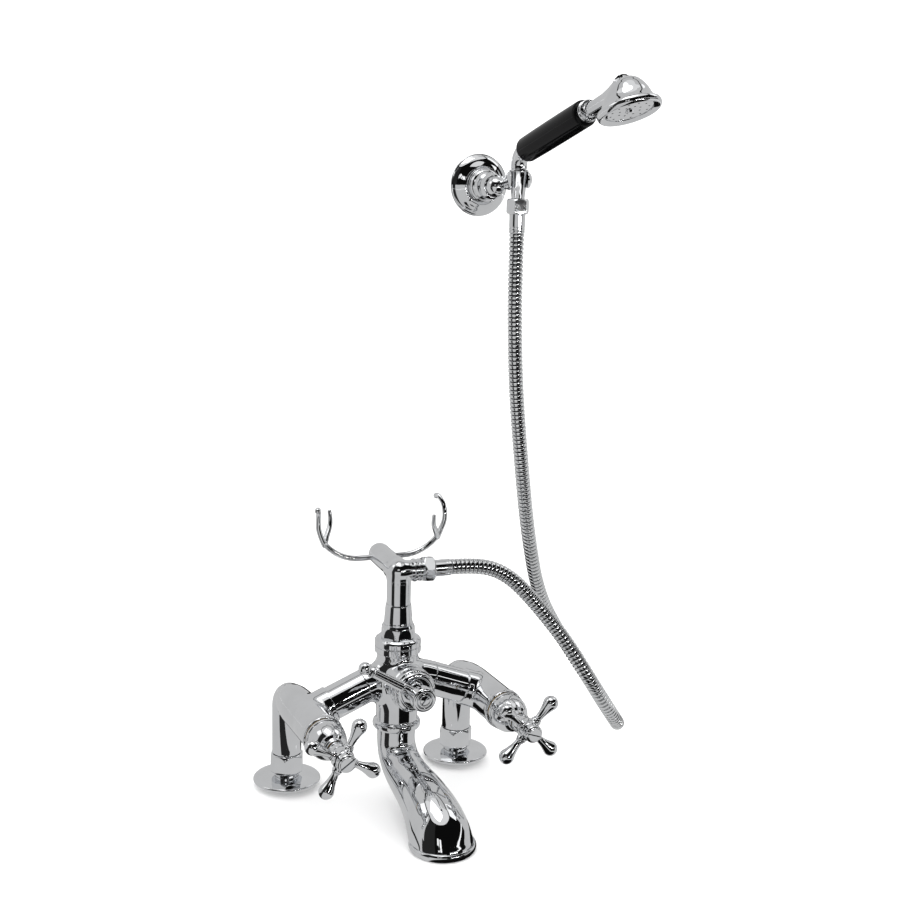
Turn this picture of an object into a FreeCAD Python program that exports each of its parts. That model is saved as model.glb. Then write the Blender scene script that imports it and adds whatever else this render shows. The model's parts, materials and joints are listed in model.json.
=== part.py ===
import FreeCAD, Part
import math
import os

# Deck mounted bath mixer with a hand shower, its hose and its wall holder.
# Millimetres. X runs along the row of inlets, -Y faces the bather, +Z is up.
# The origin is on the deck, midway between the two inlets.

# General clearances
FACE_GAP = 0.3
RUN_GAP = 0.08
SEAL_GAP = 0.05
SCREW_GAP = 0.1

# Inlets and deck fittings
INLET_SPACING = 180.0
INLET_BORE_R = 9.5
DECK_FLANGE_R = 32.5
DECK_FLANGE_RIM = 3.2
DECK_FLANGE_RISE = 1.6
TAIL_R = 11.4
TAIL_COLLAR_R = 13.0
TAIL_COLLAR_T = 3.0
NUT_BOTTOM_Z = 9.7
NUT_LIP_T = 1.8
LEG_NUT_ACROSS = 30.0
LEG_NUT_TOP_Z = 28.5
WASHER_T = 1.5

# Legs and valve barrels
LEG_R = 14.2
LEG_SPIGOT_R = 13.2
LEG_BORE_R = INLET_BORE_R
ELBOW_R = 12.0
VALVE_Z = 88.0
BARREL_R = 18.2
BARREL_TAPER_END = 34.0
BARREL_LENGTH = 110.0
BARREL_BEAD_R = 19.3
BARREL_BEAD_L = 7.0
CHAMBER_R = 14.0
SEAT_Y = 42.0
SEAT_R = 6.5
SEAT_LIP = 1.5

# Headworks
HEAD_INNER_Y = 66.0
JUMPER_R = 8.0
GUIDE_END_Y = 84.0
GUIDE_R = JUMPER_R + FACE_GAP
HEAD_FLANGE_R = 16.8
HEAD_FLANGE_T = 2.5
GLAND_R = 7.2
GLAND_END_Y = 138.0
SPINDLE_R = 4.5
SPINDLE_BACK_Y = 56.0
SPINDLE_FRONT_Y = 150.0
SEAL_Y = 128.0
JUMPER_FRONT_Y = 78.0
JUMPER_TRAVEL = 3.75
JUMPER_DISC_R = 9.2
JUMPER_DISC_T = 3.0
SEAT_WASHER_R = 8.8
SEAT_WASHER_T = 3.0
SHROUD_FRONT_Y = 141.0
SHROUD_FRONT_R = 8.9
SHROUD_BACK_R = 18.4
SHROUD_WALL = 1.3

# Cross handles
HANDLE_Y = 160.0
HANDLE_TIP_R = 38.5
SPOKE_COUNT = 4
SPOKE_END_R = 6.9
SPOKE_NECK_R = 3.3
SPOKE_NECK_AT = 15.0
SPOKE_COLLAR_R = 4.7
HUB_R = 10.2
HUB_BACK_Y = 143.0
HUB_FRONT_Y = 166.0
BUTTON_R = 8.4
BUTTON_T = 7.0
BUTTON_SLOT_W = 1.4
BUTTON_SLOT_D = 1.2
LEFT_HANDLE_ANGLE = 61.8
RIGHT_HANDLE_ANGLE = 46.4
LEFT_SLOT_ANGLE = 35.0
RIGHT_SLOT_ANGLE = -20.0

# Arms and centre column
COLUMN_Y = 60.0
ARM_R = 16.0
ARM_BORE_R = 11.5
ARM_ANGLE = 21.5
ARM_SEAM_X = 33.0
ARM_COLLAR_R = 17.4
ARM_COLLAR_AT = 26.0
COLUMN_R = 19.5
COLUMN_NECK = 9.3
COLUMN_BASE_Z = 74.0
COLUMN_BORE_R = 12.5
GUSSET_R = 13.0
RING_R = 22.8
RING_H = 8.0
CAP_R = 21.8
CAP_H = 14.0
CAP_THREAD_R = 15.0
CAP_THREAD_L = 9.0

ARM_Z = (VALVE_Z + (INLET_SPACING / 2 - ARM_SEAM_X) * math.tan(math.radians(ARM_ANGLE))
         + ARM_SEAM_X * math.tan(math.radians(ARM_ANGLE / 2)))
COLUMN_TOP_Z = ARM_Z + ARM_R + COLUMN_NECK
CAP_TOP_Z = COLUMN_TOP_Z + CAP_H

# Diverter
DIVERTER_R = 18.0
DIVERTER_BEAD_R = 20.6
DIVERTER_BEAD_BACK = 91.0
DIVERTER_FRONT = 104.0
PLUG_R = 11.0
PLUG_BACK = 62.0
PLUG_FRONT = 90.0
PLUG_BORE_R = 6.5
PLUG_PORT_R = 4.6
PLUG_PORT_Y = 76.0
DIVERTER_STEM_R = 4.2
DIVERTER_STEM_FRONT = 115.5
DIVERTER_SEAL_Y = 100.0
SEAL_GROOVE = 1.4
BONNET_THREAD_R = 14.5
BONNET_FRONT = 107.9
BONNET_FRONT_R = 10.5
LEVER_Y = 113.0
LEVER_HUB_R = 9.4
LEVER_HUB_T = 9.6
LEVER_L = 62.0
LEVER_ANGLE = 148.5
LEVER_ROOT_R = 4.7
LEVER_TIP_R = 4.1
LEVER_BALL_R = 5.9
CAP_DISC_R = 11.6
CAP_DISC_T = 10.2
CAP_SLOT_ANGLE = 50.0

# Spout
SPOUT_R = 18.0
SPOUT_WALL = 3.0
SPOUT_SPIGOT_R = 14.0
SPOUT_SPIGOT_L = 12.0
MOUTH_Y = 174.0
MOUTH_Z = -5.0
MOUTH_R = 29.0
MOUTH_BEAD_R = 30.4
MOUTH_BEAD_H = 6.5

# Riser, hose outlet and cradle
RISER_YAW = -3.5
RISER_NUT_ACROSS = 31.0
RISER_NUT_R = 16.9
RISER_NUT_END_R = 14.2
RISER_NUT_H = 21.5
SLEEVE_TOP_Z = 188.5
SLEEVE_R = 13.7
SLEEVE_TOP_R = 12.1
STEM_R = 11.3
STEM_BORE_R = 7.5
STEM_SEAT_L = 3.0
RISER_NUT_SINK = 8.5
STEM_ELBOW_R = 13.0
OUTLET_Z = 219.5
HORN_R = 10.6
HORN_L = 60.0
NIPPLE_R = 9.6
NIPPLE_END = 22.5
NIPPLE_BORE_R = 6.0
YOKE_AT = 54.0
YOKE_DROP = 1.1
YOKE_R = 2.7
YOKE_FLAT = 22.0
YOKE_HALF = 57.0
YOKE_RISE = 17.0
GRUB_R = 2.0

# Hose and its fittings
HOSE_R = 7.3
HOSE_RIB = 0.9
HOSE_BORE_R = 4.0
HOSE_RIBS = 100
FERRULE_R = 7.8
HOSE_NUT_ACROSS = 22.0
HOSE_NUT_L = 11.0
TAIL_NUT_ACROSS = 19.6
SPIGOT_L = 1.8
ROUTE = [
    (50.9, -63.1, 219.5),
    (79.8, -64.9, 219.5),
    (107.3, -69.0, 209.0),
    (131.0, -77.0, 185.0),
    (165.0, -90.0, 140.0),
    (192.0, -109.8, 89.3),
    (227.5, -91.4, 45.1),
    (253.7, -40.7, 27.4),
    (257.2, 16.1, 45.4),
    (236.0, 49.5, 89.9),
    (201.5, 42.0, 144.0),
    (178.5, 25.0, 213.0),
    (165.0, 16.0, 275.0),
    (150.5, 10.0, 370.0),
    (144.8, 7.0, 442.0),
    (144.0, 7.0, 486.0),
    (144.0, 7.0, 527.0),
]
HOSE_SIDE = (0.85, -0.25, 0.5)
ROUTE_ARC_SHARE = 0.45

# Wall bracket
WALL_Y = 60.0
BRACKET_X = 126.0
BRACKET_Z = 571.0
WALL_FLANGE_R = 30.5
WALL_FLANGE_T = 9.0
WALL_PLATE_R = 23.4
WALL_PLATE_T = 4.0
WALL_SCREW_SPACING = 36.0
WALL_SCREW_R = 2.5
BOSS_R = 16.0
BOSS_FRONT = 24.0
SOCKET_R = 12.6
SOCKET_BACK = 2.5
BALL_R = 9.6
BALL_AT = 40.0
NECK_MIN_R = 4.6
NECK_MAX_R = 7.0

# Holder ring and hand shower
TAIL_X = 144.0
TAIL_Y = -7.0
HOLDER_Z = 578.0
HOLDER_H = 15.0
HOLDER_R = 11.0
HOLDER_SLOT = 16.4
CONE_TOP_R = 8.9
CONE_BASE_R = 7.4
TAIL_BASE_Z = 560.0
TAIL_NUT_L = 14.5
HANDLE_TILT = 16.7
BEND_Z = 602.0
BEND_R = 14.0
BEND_TUBE_R = 7.8
GRIP_START = 14.0
GRIP_L = 120.0
GRIP_R = 12.2
GRIP_ROUND = 5.0
GRIP_BORE_R = 6.0
GRIP_SEAT = 1.0
COLLAR_R = 9.8
COLLAR_L = 6.0
NECK_R = 5.9
FACE_X = 143.0
FACE_Y = -197.5
FACE_Z = 638.2
FACE_TILT = 22.9
FACE_TWIST = -7.1
FACE_R = 27.6
FACE_OPENING_R = 25.0
FACE_RING_T = 7.9
PLATE_R = 20.9
PLATE_DEPTH = 2.2
PLATE_T = 2.6
BELL_WALL = 2.6
BELL_LEVELS = (
    (FACE_RING_T, 23.6, 0.8, 0.6), (12.8, 21.9, 2.9, 2.0), (19.6, 18.6, 2.8, 3.3),
    (25.6, 14.2, 2.1, 4.1), (29.6, 9.6, 1.5, 4.6), (31.8, 4.8, 1.2, 4.9),
)
SPRAY_HOLE_R = 0.9
SPRAY_ROWS = ((9.5, 8), (16.5, 12))

V = FreeCAD.Vector
X_AXIS = V(1, 0, 0)
Y_AXIS = V(0, 1, 0)
Z_AXIS = V(0, 0, 1)
FRONT = V(0, -1, 0)
DOWN = V(0, 0, -1)

COLUMN = V(0, -COLUMN_Y, 0)
nodes = {}


def keep(name, shape):
    """Store one named piece."""
    nodes[name] = shape


def placed(shape, at, along, spin=0.0):
    """Turn a shape built on +Z to lie along a direction, from a point."""
    turned = shape.copy()
    turn = FreeCAD.Rotation(Z_AXIS, along)
    own = FreeCAD.Rotation(Z_AXIS, spin)
    turned.Placement = FreeCAD.Placement(at, turn.multiply(own))
    return turned


def rod(radius, length, at, along):
    return Part.makeCylinder(radius, length, at, along)


def cone(r0, r1, length, at, along):
    return Part.makeCone(r0, r1, length, at, along)


def tube(outer, inner, length, at, along):
    return rod(outer, length, at, along).cut(rod(inner, length, at, along))


def lathe(edges_points, at, along, spin=0.0):
    """Revolve a closed outline of (radius, height) points. A point with a third
    value is the middle of an arc between its neighbours."""
    edges = []
    count = len(edges_points)
    i = 0
    while i < count:
        here = edges_points[i]
        after = edges_points[(i + 1) % count]
        start = V(here[0], 0, here[1])
        if len(after) == 3:
            end = edges_points[(i + 2) % count]
            arc = Part.Arc(start, V(after[0], 0, after[1]), V(end[0], 0, end[1]))
            edges.append(arc.toShape())
            i += 2
        else:
            stop = V(after[0], 0, after[1])
            if start.distanceToPoint(stop) > 1e-6:
                edges.append(Part.LineSegment(start, stop).toShape())
            i += 1
    face = Part.Face(Part.Wire(edges))
    solid = face.revolve(V(0, 0, 0), Z_AXIS, 360)
    return placed(solid, at, along, spin)


def hexagon(across, length, at, along, spin=0.0):
    """A plain hexagonal prism, one corner on its own X axis."""
    corner = across / math.sqrt(3)
    points = []
    for i in range(7):
        angle = math.radians(60 * i)
        points.append(V(corner * math.cos(angle), corner * math.sin(angle), 0))
    prism = Part.Face(Part.makePolygon(points)).extrude(V(0, 0, length))
    return placed(prism, at, along, spin)


def barrel_nut(across, end_r, mid_r, length, bore, at, along, spin=0.0):
    """A hexagonal nut whose ends are turned to a curve."""
    blank = lathe([(bore, 0), (end_r, 0), (mid_r, length / 2, 0), (end_r, length),
                   (bore, length)], at, along)
    return blank.common(hexagon(across, length, at, along, spin))


def polar(radius, angle, y):
    """A point on a circle that faces the bather."""
    turn = math.radians(angle)
    return V(radius * math.cos(turn), -y, radius * math.sin(turn))


# Deck flanges, tails and union nuts

def deck_flange(x):
    rim = DECK_FLANGE_RIM
    bore = TAIL_R + FACE_GAP
    crown = rim + DECK_FLANGE_RISE
    outline = [(bore, 0), (DECK_FLANGE_R - 0.8, 0), (DECK_FLANGE_R, rim / 2, 0),
               (DECK_FLANGE_R - 1.2, rim), ((DECK_FLANGE_R + bore) / 2, rim + 1.1, 0),
               (bore, crown)]
    return lathe(outline, V(x, 0, 0), Z_AXIS)


COLLAR_Z = NUT_BOTTOM_Z + NUT_LIP_T
WASHER_Z = COLLAR_Z + TAIL_COLLAR_T
SPIGOT_Z = WASHER_Z + WASHER_T


def deck_tail(x):
    body = rod(TAIL_R, COLLAR_Z, V(x, 0, 0), Z_AXIS)
    body = body.fuse(rod(TAIL_COLLAR_R, TAIL_COLLAR_T, V(x, 0, COLLAR_Z), Z_AXIS))
    return body.cut(rod(INLET_BORE_R, WASHER_Z, V(x, 0, 0), Z_AXIS)).removeSplitter()


def leg_nut(x, spin):
    height = LEG_NUT_TOP_Z - NUT_BOTTOM_Z
    end_r = LEG_NUT_ACROSS / 2 + 0.3
    corner = LEG_NUT_ACROSS / math.sqrt(3)
    neck = LEG_R + 0.4
    blank = lathe([(0, 0), (end_r, 0), (corner, 2.2), (corner, height - 5.5),
                   (corner - 0.4, height - 3.4, 0), (neck, height), (0, height)],
                  V(x, 0, NUT_BOTTOM_Z), Z_AXIS)
    nut = blank.common(hexagon(LEG_NUT_ACROSS, height, V(x, 0, NUT_BOTTOM_Z), Z_AXIS, spin))
    nut = nut.cut(rod(TAIL_R + SCREW_GAP, height, V(x, 0, NUT_BOTTOM_Z), Z_AXIS))
    return nut.cut(rod(LEG_SPIGOT_R + SCREW_GAP, height, V(x, 0, COLLAR_Z), Z_AXIS))


def tail_washer(x):
    return tube(LEG_SPIGOT_R - 0.4, INLET_BORE_R, WASHER_T, V(x, 0, WASHER_Z), Z_AXIS)


# Valve bodies: leg, elbow and barrel in one casting

def clipped_elbow(x, radius):
    """Quarter bend whose centre line is tighter than its own radius."""
    y = -ELBOW_R
    z = VALVE_Z - ELBOW_R
    disc = Part.Face(Part.Wire(Part.makeCircle(radius, V(x, 0, z), Z_AXIS)))
    keep_side = Part.makePlane(4 * radius, radius + ELBOW_R, V(x - 2 * radius, y, z), Z_AXIS)
    disc = disc.common(keep_side)
    return disc.revolve(V(x, y, z), X_AXIS, 90)


def arm_direction(side):
    turn = math.radians(ARM_ANGLE)
    return V(-side * math.cos(turn), 0, math.sin(turn))


def arm_seam(side):
    """Where the arm tube meets the centre body."""
    start = V(side * INLET_SPACING / 2, -COLUMN_Y, VALVE_Z)
    run = (INLET_SPACING / 2 - ARM_SEAM_X) / math.cos(math.radians(ARM_ANGLE))
    return start + arm_direction(side) * run


def valve_body(side):
    x = side * INLET_SPACING / 2
    z = VALVE_Z
    spigot_top = LEG_NUT_TOP_Z + 0.6
    leg_top = z - ELBOW_R
    leg = rod(LEG_SPIGOT_R, spigot_top - SPIGOT_Z, V(x, 0, SPIGOT_Z), Z_AXIS)
    leg = leg.fuse(rod(LEG_R, leg_top - spigot_top, V(x, 0, spigot_top), Z_AXIS))
    elbow = clipped_elbow(x, LEG_R)
    bead = BARREL_LENGTH - BARREL_BEAD_L
    outline = [(0, ELBOW_R), (LEG_R, ELBOW_R), (BARREL_R - 1.0, BARREL_TAPER_END * 0.7, 0),
               (BARREL_R, BARREL_TAPER_END + 6), (BARREL_R, bead),
               (BARREL_BEAD_R, bead + BARREL_BEAD_L * 0.45, 0),
               (BARREL_BEAD_R - 0.9, BARREL_LENGTH), (0, BARREL_LENGTH)]
    barrel = lathe(outline, V(x, 0, z), FRONT)
    axis_point = V(x, -COLUMN_Y, z)
    collar = rod(ARM_COLLAR_R, ARM_COLLAR_AT, axis_point, arm_direction(side))
    body = leg.multiFuse([elbow, barrel, collar])
    seat_front = SEAT_Y + SEAT_LIP
    water = [
        rod(LEG_BORE_R, z - SPIGOT_Z, V(x, 0, SPIGOT_Z), Z_AXIS),
        Part.makeSphere(LEG_BORE_R, V(x, 0, z)),
        rod(LEG_BORE_R, SEAT_Y - 6, V(x, 0, z), FRONT),
        rod(SEAT_R, seat_front, V(x, 0, z), FRONT),
        tube(CHAMBER_R, JUMPER_DISC_R - 1, SEAT_LIP, V(x, -SEAT_Y, z), FRONT),
        rod(CHAMBER_R, BARREL_LENGTH, V(x, -seat_front, z), FRONT),
        rod(ARM_BORE_R, ARM_COLLAR_AT + 1, axis_point, arm_direction(side)),
        rod(ARM_R + SCREW_GAP, ARM_COLLAR_AT, axis_point + arm_direction(side) * 19.5,
            arm_direction(side)),
    ]
    for hollow in water:
        body = body.cut(hollow)
    return body


def arm(side):
    """Tube from the barrel's socket to the seam of the centre body."""
    start = V(side * INLET_SPACING / 2, -COLUMN_Y, VALVE_Z) + arm_direction(side) * 19.7
    length = start.distanceToPoint(arm_seam(side))
    return tube(ARM_R, ARM_BORE_R, length, start, arm_direction(side))


# Headworks, spindles and jumpers

def headwork(x):
    z = VALVE_Z
    front = BARREL_LENGTH
    thread_r = CHAMBER_R - SCREW_GAP
    guide = HEAD_INNER_Y
    outline = [(GUIDE_R, guide), (thread_r - 3, guide), (thread_r - 3, GUIDE_END_Y),
               (thread_r, GUIDE_END_Y + 2), (thread_r, front), (HEAD_FLANGE_R, front),
               (HEAD_FLANGE_R, front + HEAD_FLANGE_T), (GLAND_R, front + HEAD_FLANGE_T),
               (GLAND_R, GLAND_END_Y), (SPINDLE_R + RUN_GAP, GLAND_END_Y),
               (SPINDLE_R + RUN_GAP, SEAL_Y + 1.4), (SPINDLE_R + 1.9, SEAL_Y + 1.4),
               (SPINDLE_R + 1.9, SEAL_Y - 1.4), (SPINDLE_R + RUN_GAP, SEAL_Y - 1.4),
               (SPINDLE_R + RUN_GAP, GUIDE_END_Y), (GUIDE_R, GUIDE_END_Y)]
    return lathe(outline, V(x, 0, z), FRONT)


def spindle_seal(x):
    ring = Part.makeTorus(SPINDLE_R + SEAL_GAP + 0.75, 0.7, V(0, 0, 0), Z_AXIS)
    return placed(ring, V(x, -SEAL_Y, VALVE_Z), FRONT)


def spindle(x):
    stem = rod(SPINDLE_R, HUB_BACK_Y - SPINDLE_BACK_Y, V(x, -SPINDLE_BACK_Y, VALVE_Z), FRONT)
    side = SPINDLE_R * 1.4
    square_l = SPINDLE_FRONT_Y - HUB_BACK_Y
    square = Part.makeBox(side, square_l, side, V(x - side / 2, -SPINDLE_FRONT_Y, VALVE_Z - side / 2))
    return stem.fuse(square)


def jumper(x):
    """Sleeve on the spindle's thread with the disc that closes the seat."""
    washer_front = SEAT_Y + SEAT_LIP + FACE_GAP + SEAT_WASHER_T
    floor = JUMPER_TRAVEL + 0.5
    outline = [(0, washer_front), (JUMPER_DISC_R, washer_front),
               (JUMPER_DISC_R, washer_front + JUMPER_DISC_T),
               (JUMPER_R, washer_front + JUMPER_DISC_T + 1.2), (JUMPER_R, JUMPER_FRONT_Y),
               (SPINDLE_R + FACE_GAP, JUMPER_FRONT_Y), (SPINDLE_R + FACE_GAP, SPINDLE_BACK_Y - floor),
               (0, SPINDLE_BACK_Y - floor)]
    return lathe(outline, V(x, 0, VALVE_Z), FRONT)


def seat_washer(x):
    back = SEAT_Y + SEAT_LIP + FACE_GAP
    return rod(SEAT_WASHER_R, SEAT_WASHER_T, V(x, -back, VALVE_Z), FRONT)


def shroud(x):
    """Turned bell over the headwork, open at both ends."""
    back = BARREL_LENGTH + HEAD_FLANGE_T
    front = SHROUD_FRONT_Y
    wall = SHROUD_WALL
    span = front - back
    outline = [(SHROUD_BACK_R, back), (SHROUD_BACK_R - 1.3, back + span * 0.38, 0),
               (SHROUD_FRONT_R + 2.6, front - 7.5), (SHROUD_FRONT_R, front - 4.5),
               (SHROUD_FRONT_R, front), (GLAND_R + 0.1, front), (GLAND_R + 0.1, front - 6.5),
               (SHROUD_FRONT_R + 1.2, front - 8.0),
               (SHROUD_BACK_R - 1.3 - wall, back + span * 0.38, 0),
               (SHROUD_BACK_R - wall, back)]
    return lathe(outline, V(x, 0, VALVE_Z), FRONT)


# Cross handles

def spoke():
    """One spoke on +Z: a collar, a slim neck and a pear shaped end."""
    tip = HANDLE_TIP_R
    end = tip - SPOKE_END_R
    slope = math.radians(72)
    crown = math.radians(54)
    join = (SPOKE_END_R * math.sin(slope), end - SPOKE_END_R * math.cos(slope))
    shoulder = (SPOKE_END_R * math.cos(crown / 2), end + SPOKE_END_R * math.sin(crown / 2), 0)
    outline = [(0, 4), (SPOKE_COLLAR_R, 4), (SPOKE_COLLAR_R, HUB_R + 0.6),
               (SPOKE_COLLAR_R - 0.2, HUB_R + 1.6, 0), (SPOKE_NECK_R, HUB_R + 2.3),
               (SPOKE_NECK_R, SPOKE_NECK_AT),
               ((SPOKE_NECK_R + join[0]) / 2 - 0.6, (SPOKE_NECK_AT + join[1]) / 2, 0),
               join, shoulder, (0, tip)]
    return lathe(outline, V(0, 0, 0), Z_AXIS)


def cross_handle(x, angle):
    centre = V(x, -HANDLE_Y, VALVE_Z)
    hub_outline = [(0, HUB_BACK_Y), (SHROUD_FRONT_R, HUB_BACK_Y),
                   (SHROUD_FRONT_R + 0.3, HUB_BACK_Y + 3), (HUB_R - 1.4, HANDLE_Y - 7.5),
                   (HUB_R, HANDLE_Y, 0), (HUB_R - 1.0, HUB_FRONT_Y - 1),
                   (HUB_R - 1.8, HUB_FRONT_Y), (0, HUB_FRONT_Y)]
    handle = lathe(hub_outline, V(x, 0, VALVE_Z), FRONT)
    one = spoke()
    for i in range(SPOKE_COUNT):
        turn = angle + 360.0 / SPOKE_COUNT * i
        direction = polar(1.0, turn, 0)
        handle = handle.fuse(placed(one, centre, direction))
    side = SPINDLE_R * 1.4 + 0.3
    depth = SPINDLE_FRONT_Y + 1.0 - HUB_BACK_Y
    socket = Part.makeBox(side, depth, side,
                          V(x - side / 2, -HUB_BACK_Y - depth, VALVE_Z - side / 2))
    shank = rod(2.6, HUB_FRONT_Y, V(x, -HUB_BACK_Y, VALVE_Z), FRONT)
    return handle.cut(socket).cut(shank)


def slotted_button(at, radius, thick, shank_r, shank_l, slot_angle):
    """Round domed head with a screwdriver slot, and its shank behind."""
    head = lathe([(0, 0), (radius, 0), (radius, thick - 2.0), (radius - 0.6, thick - 0.6, 0),
                  (radius - 2.0, thick), (0, thick + 0.5)], at, FRONT)
    angle = math.radians(slot_angle)
    slot = Part.makeBox(2.4 * radius, BUTTON_SLOT_W, 2 * BUTTON_SLOT_D,
                        V(-1.2 * radius, -BUTTON_SLOT_W / 2, thick + 0.5 - BUTTON_SLOT_D))
    slot = placed(slot, at, FRONT, 0)
    slot.rotate(at, FRONT, -math.degrees(angle))
    shank = rod(shank_r, shank_l, at, Y_AXIS)
    return head.cut(slot).fuse(shank)


def handle_screw(x, slot_angle):
    at = V(x, -HUB_FRONT_Y, VALVE_Z)
    return slotted_button(at, BUTTON_R, BUTTON_T, 2.5,
                          HUB_FRONT_Y - SPINDLE_FRONT_Y - 1.5, slot_angle)


# Centre body with its column, arm stubs and diverter barrel

def arm_bend(side, radius):
    """Quarter-like bend from the middle of the column down to the seam."""
    middle = V(0, -COLUMN_Y, ARM_Z)
    sweep_r = ARM_SEAM_X / math.sin(math.radians(ARM_ANGLE))
    disc = Part.Face(Part.Wire(Part.makeCircle(radius, middle, X_AXIS)))
    return disc.revolve(middle - V(0, 0, sweep_r), Y_AXIS, side * ARM_ANGLE)


def centre_body():
    column = rod(COLUMN_R, COLUMN_TOP_Z - COLUMN_BASE_Z, COLUMN + V(0, 0, COLUMN_BASE_Z), Z_AXIS)
    ring = lathe([(0, 0), (RING_R - 2, 0), (RING_R, RING_H / 2, 0), (RING_R - 2, RING_H), (0, RING_H)],
                 COLUMN + V(0, 0, COLUMN_BASE_Z - RING_H), Z_AXIS)
    barrel = rod(DIVERTER_R, DIVERTER_BEAD_BACK - COLUMN_Y, COLUMN + V(0, 0, ARM_Z), FRONT)
    middle = (DIVERTER_BEAD_BACK + DIVERTER_FRONT) / 2
    bead = lathe([(0, DIVERTER_BEAD_BACK - 2), (DIVERTER_R, DIVERTER_BEAD_BACK - 2),
                  (DIVERTER_BEAD_R - 0.4, DIVERTER_BEAD_BACK + 0.4, 0),
                  (DIVERTER_BEAD_R, DIVERTER_BEAD_BACK + 3), (DIVERTER_BEAD_R - 1, middle),
                  (DIVERTER_BEAD_R, DIVERTER_FRONT - 3), (DIVERTER_BEAD_R - 1, DIVERTER_FRONT),
                  (0, DIVERTER_FRONT)], V(0, 0, ARM_Z), FRONT)
    flare = lathe([(0, -7), (COLUMN_R + 6, -7), (COLUMN_R + 1.2, 1.5, 0), (COLUMN_R, 8), (0, 8)],
                  COLUMN + V(0, 0, ARM_Z + ARM_R), Z_AXIS)
    gusset = lathe([(0, -16), (COLUMN_R, -16), (COLUMN_R + 2.2, -7.5, 0), (COLUMN_R + 8.5, -2), (0, -2)],
                   COLUMN + V(0, 0, ARM_Z - ARM_R), Z_AXIS)
    reach = 2 * COLUMN_R
    gusset = gusset.common(rod(GUSSET_R, 2 * reach, COLUMN + V(-reach, 0, ARM_Z - ARM_R - 4), X_AXIS))
    body = column.multiFuse([arm_bend(-1, ARM_R), arm_bend(1, ARM_R), barrel, ring, bead])
    body = body.multiFuse([flare, gusset])
    under = COLUMN_BASE_Z - RING_H
    neck_z = ARM_Z - ARM_R + 2
    hollows = [
        arm_bend(-1, ARM_BORE_R),
        arm_bend(1, ARM_BORE_R),
        rod(COLUMN_BORE_R, neck_z - 8 - under, COLUMN + V(0, 0, under), Z_AXIS),
        rod(SPOUT_SPIGOT_R + SCREW_GAP, SPOUT_SPIGOT_L + 1, COLUMN + V(0, 0, under), Z_AXIS),
        rod(COLUMN_BORE_R, 20, COLUMN + V(0, 0, ARM_Z + ARM_R + 2), Z_AXIS),
        rod(CAP_THREAD_R + SCREW_GAP, 20, COLUMN + V(0, 0, COLUMN_TOP_Z - CAP_THREAD_L), Z_AXIS),
        rod(PLUG_R + RUN_GAP, PLUG_FRONT, V(0, -PLUG_BACK, ARM_Z), FRONT),
        rod(BONNET_THREAD_R + SCREW_GAP, 40, V(0, -PLUG_FRONT, ARM_Z), FRONT),
        rod(PLUG_PORT_R, 26, V(0, -PLUG_PORT_Y + 3, ARM_Z), Z_AXIS),
        rod(PLUG_PORT_R, 26, V(0, -PLUG_PORT_Y + 3, ARM_Z), DOWN),
    ]
    for hollow in hollows:
        body = body.cut(hollow)
    return body


def column_cap():
    """Screwed ring on the column, with the seat and the face for the riser."""
    z = COLUMN_TOP_Z
    seat_r = STEM_R + SCREW_GAP
    outline = [(10.5, -CAP_THREAD_L), (CAP_THREAD_R, -CAP_THREAD_L), (CAP_THREAD_R, 0),
               (CAP_R, 0), (CAP_R, 5.6), (CAP_R - 0.9, 6.3, 0), (CAP_R, 7.0),
               (CAP_R, CAP_H - 3.0), (CAP_R - 2.6, CAP_H), (seat_r, CAP_H),
               (seat_r, CAP_H - STEM_SEAT_L), (10.5, CAP_H - STEM_SEAT_L)]
    return lathe(outline, COLUMN + V(0, 0, z), Z_AXIS)


# Diverter

def diverter_plug():
    """Turning drum that opens to the spout or to the riser, with its stem."""
    z = ARM_Z
    drum = rod(PLUG_R, PLUG_FRONT - PLUG_BACK, V(0, -PLUG_BACK, z), FRONT)
    drum = drum.cut(rod(PLUG_BORE_R, PLUG_PORT_Y + 3 - PLUG_BACK, V(0, -PLUG_BACK, z), FRONT))
    for angle in (270.0, 210.0):
        port = rod(PLUG_PORT_R - 0.4, PLUG_R + 1, V(0, -PLUG_PORT_Y, z), polar(1.0, angle, 0))
        drum = drum.cut(port)
    stem = rod(DIVERTER_STEM_R, DIVERTER_STEM_FRONT - PLUG_FRONT, V(0, -PLUG_FRONT, z), FRONT)
    return drum.fuse(stem)


def diverter_bonnet():
    front = BONNET_FRONT
    base = DIVERTER_FRONT
    bore = DIVERTER_STEM_R + RUN_GAP
    back = PLUG_FRONT + FACE_GAP
    outline = [(bore, back), (BONNET_THREAD_R, back), (BONNET_THREAD_R, base),
               (DIVERTER_BEAD_R - 1.6, base), (DIVERTER_BEAD_R - 2.2, base + 2.2, 0),
               (BONNET_FRONT_R + 3.4, base + 3.6), (BONNET_FRONT_R, front), (bore, front),
               (bore, DIVERTER_SEAL_Y + SEAL_GROOVE), (bore + 1.8, DIVERTER_SEAL_Y + SEAL_GROOVE),
               (bore + 1.8, DIVERTER_SEAL_Y - SEAL_GROOVE), (bore, DIVERTER_SEAL_Y - SEAL_GROOVE)]
    return lathe(outline, V(0, 0, ARM_Z), FRONT)


def diverter_seal():
    ring = Part.makeTorus(DIVERTER_STEM_R + SEAL_GAP + 0.75, 0.7, V(0, 0, 0), Z_AXIS)
    return placed(ring, V(0, -DIVERTER_SEAL_Y, ARM_Z), FRONT)


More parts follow.
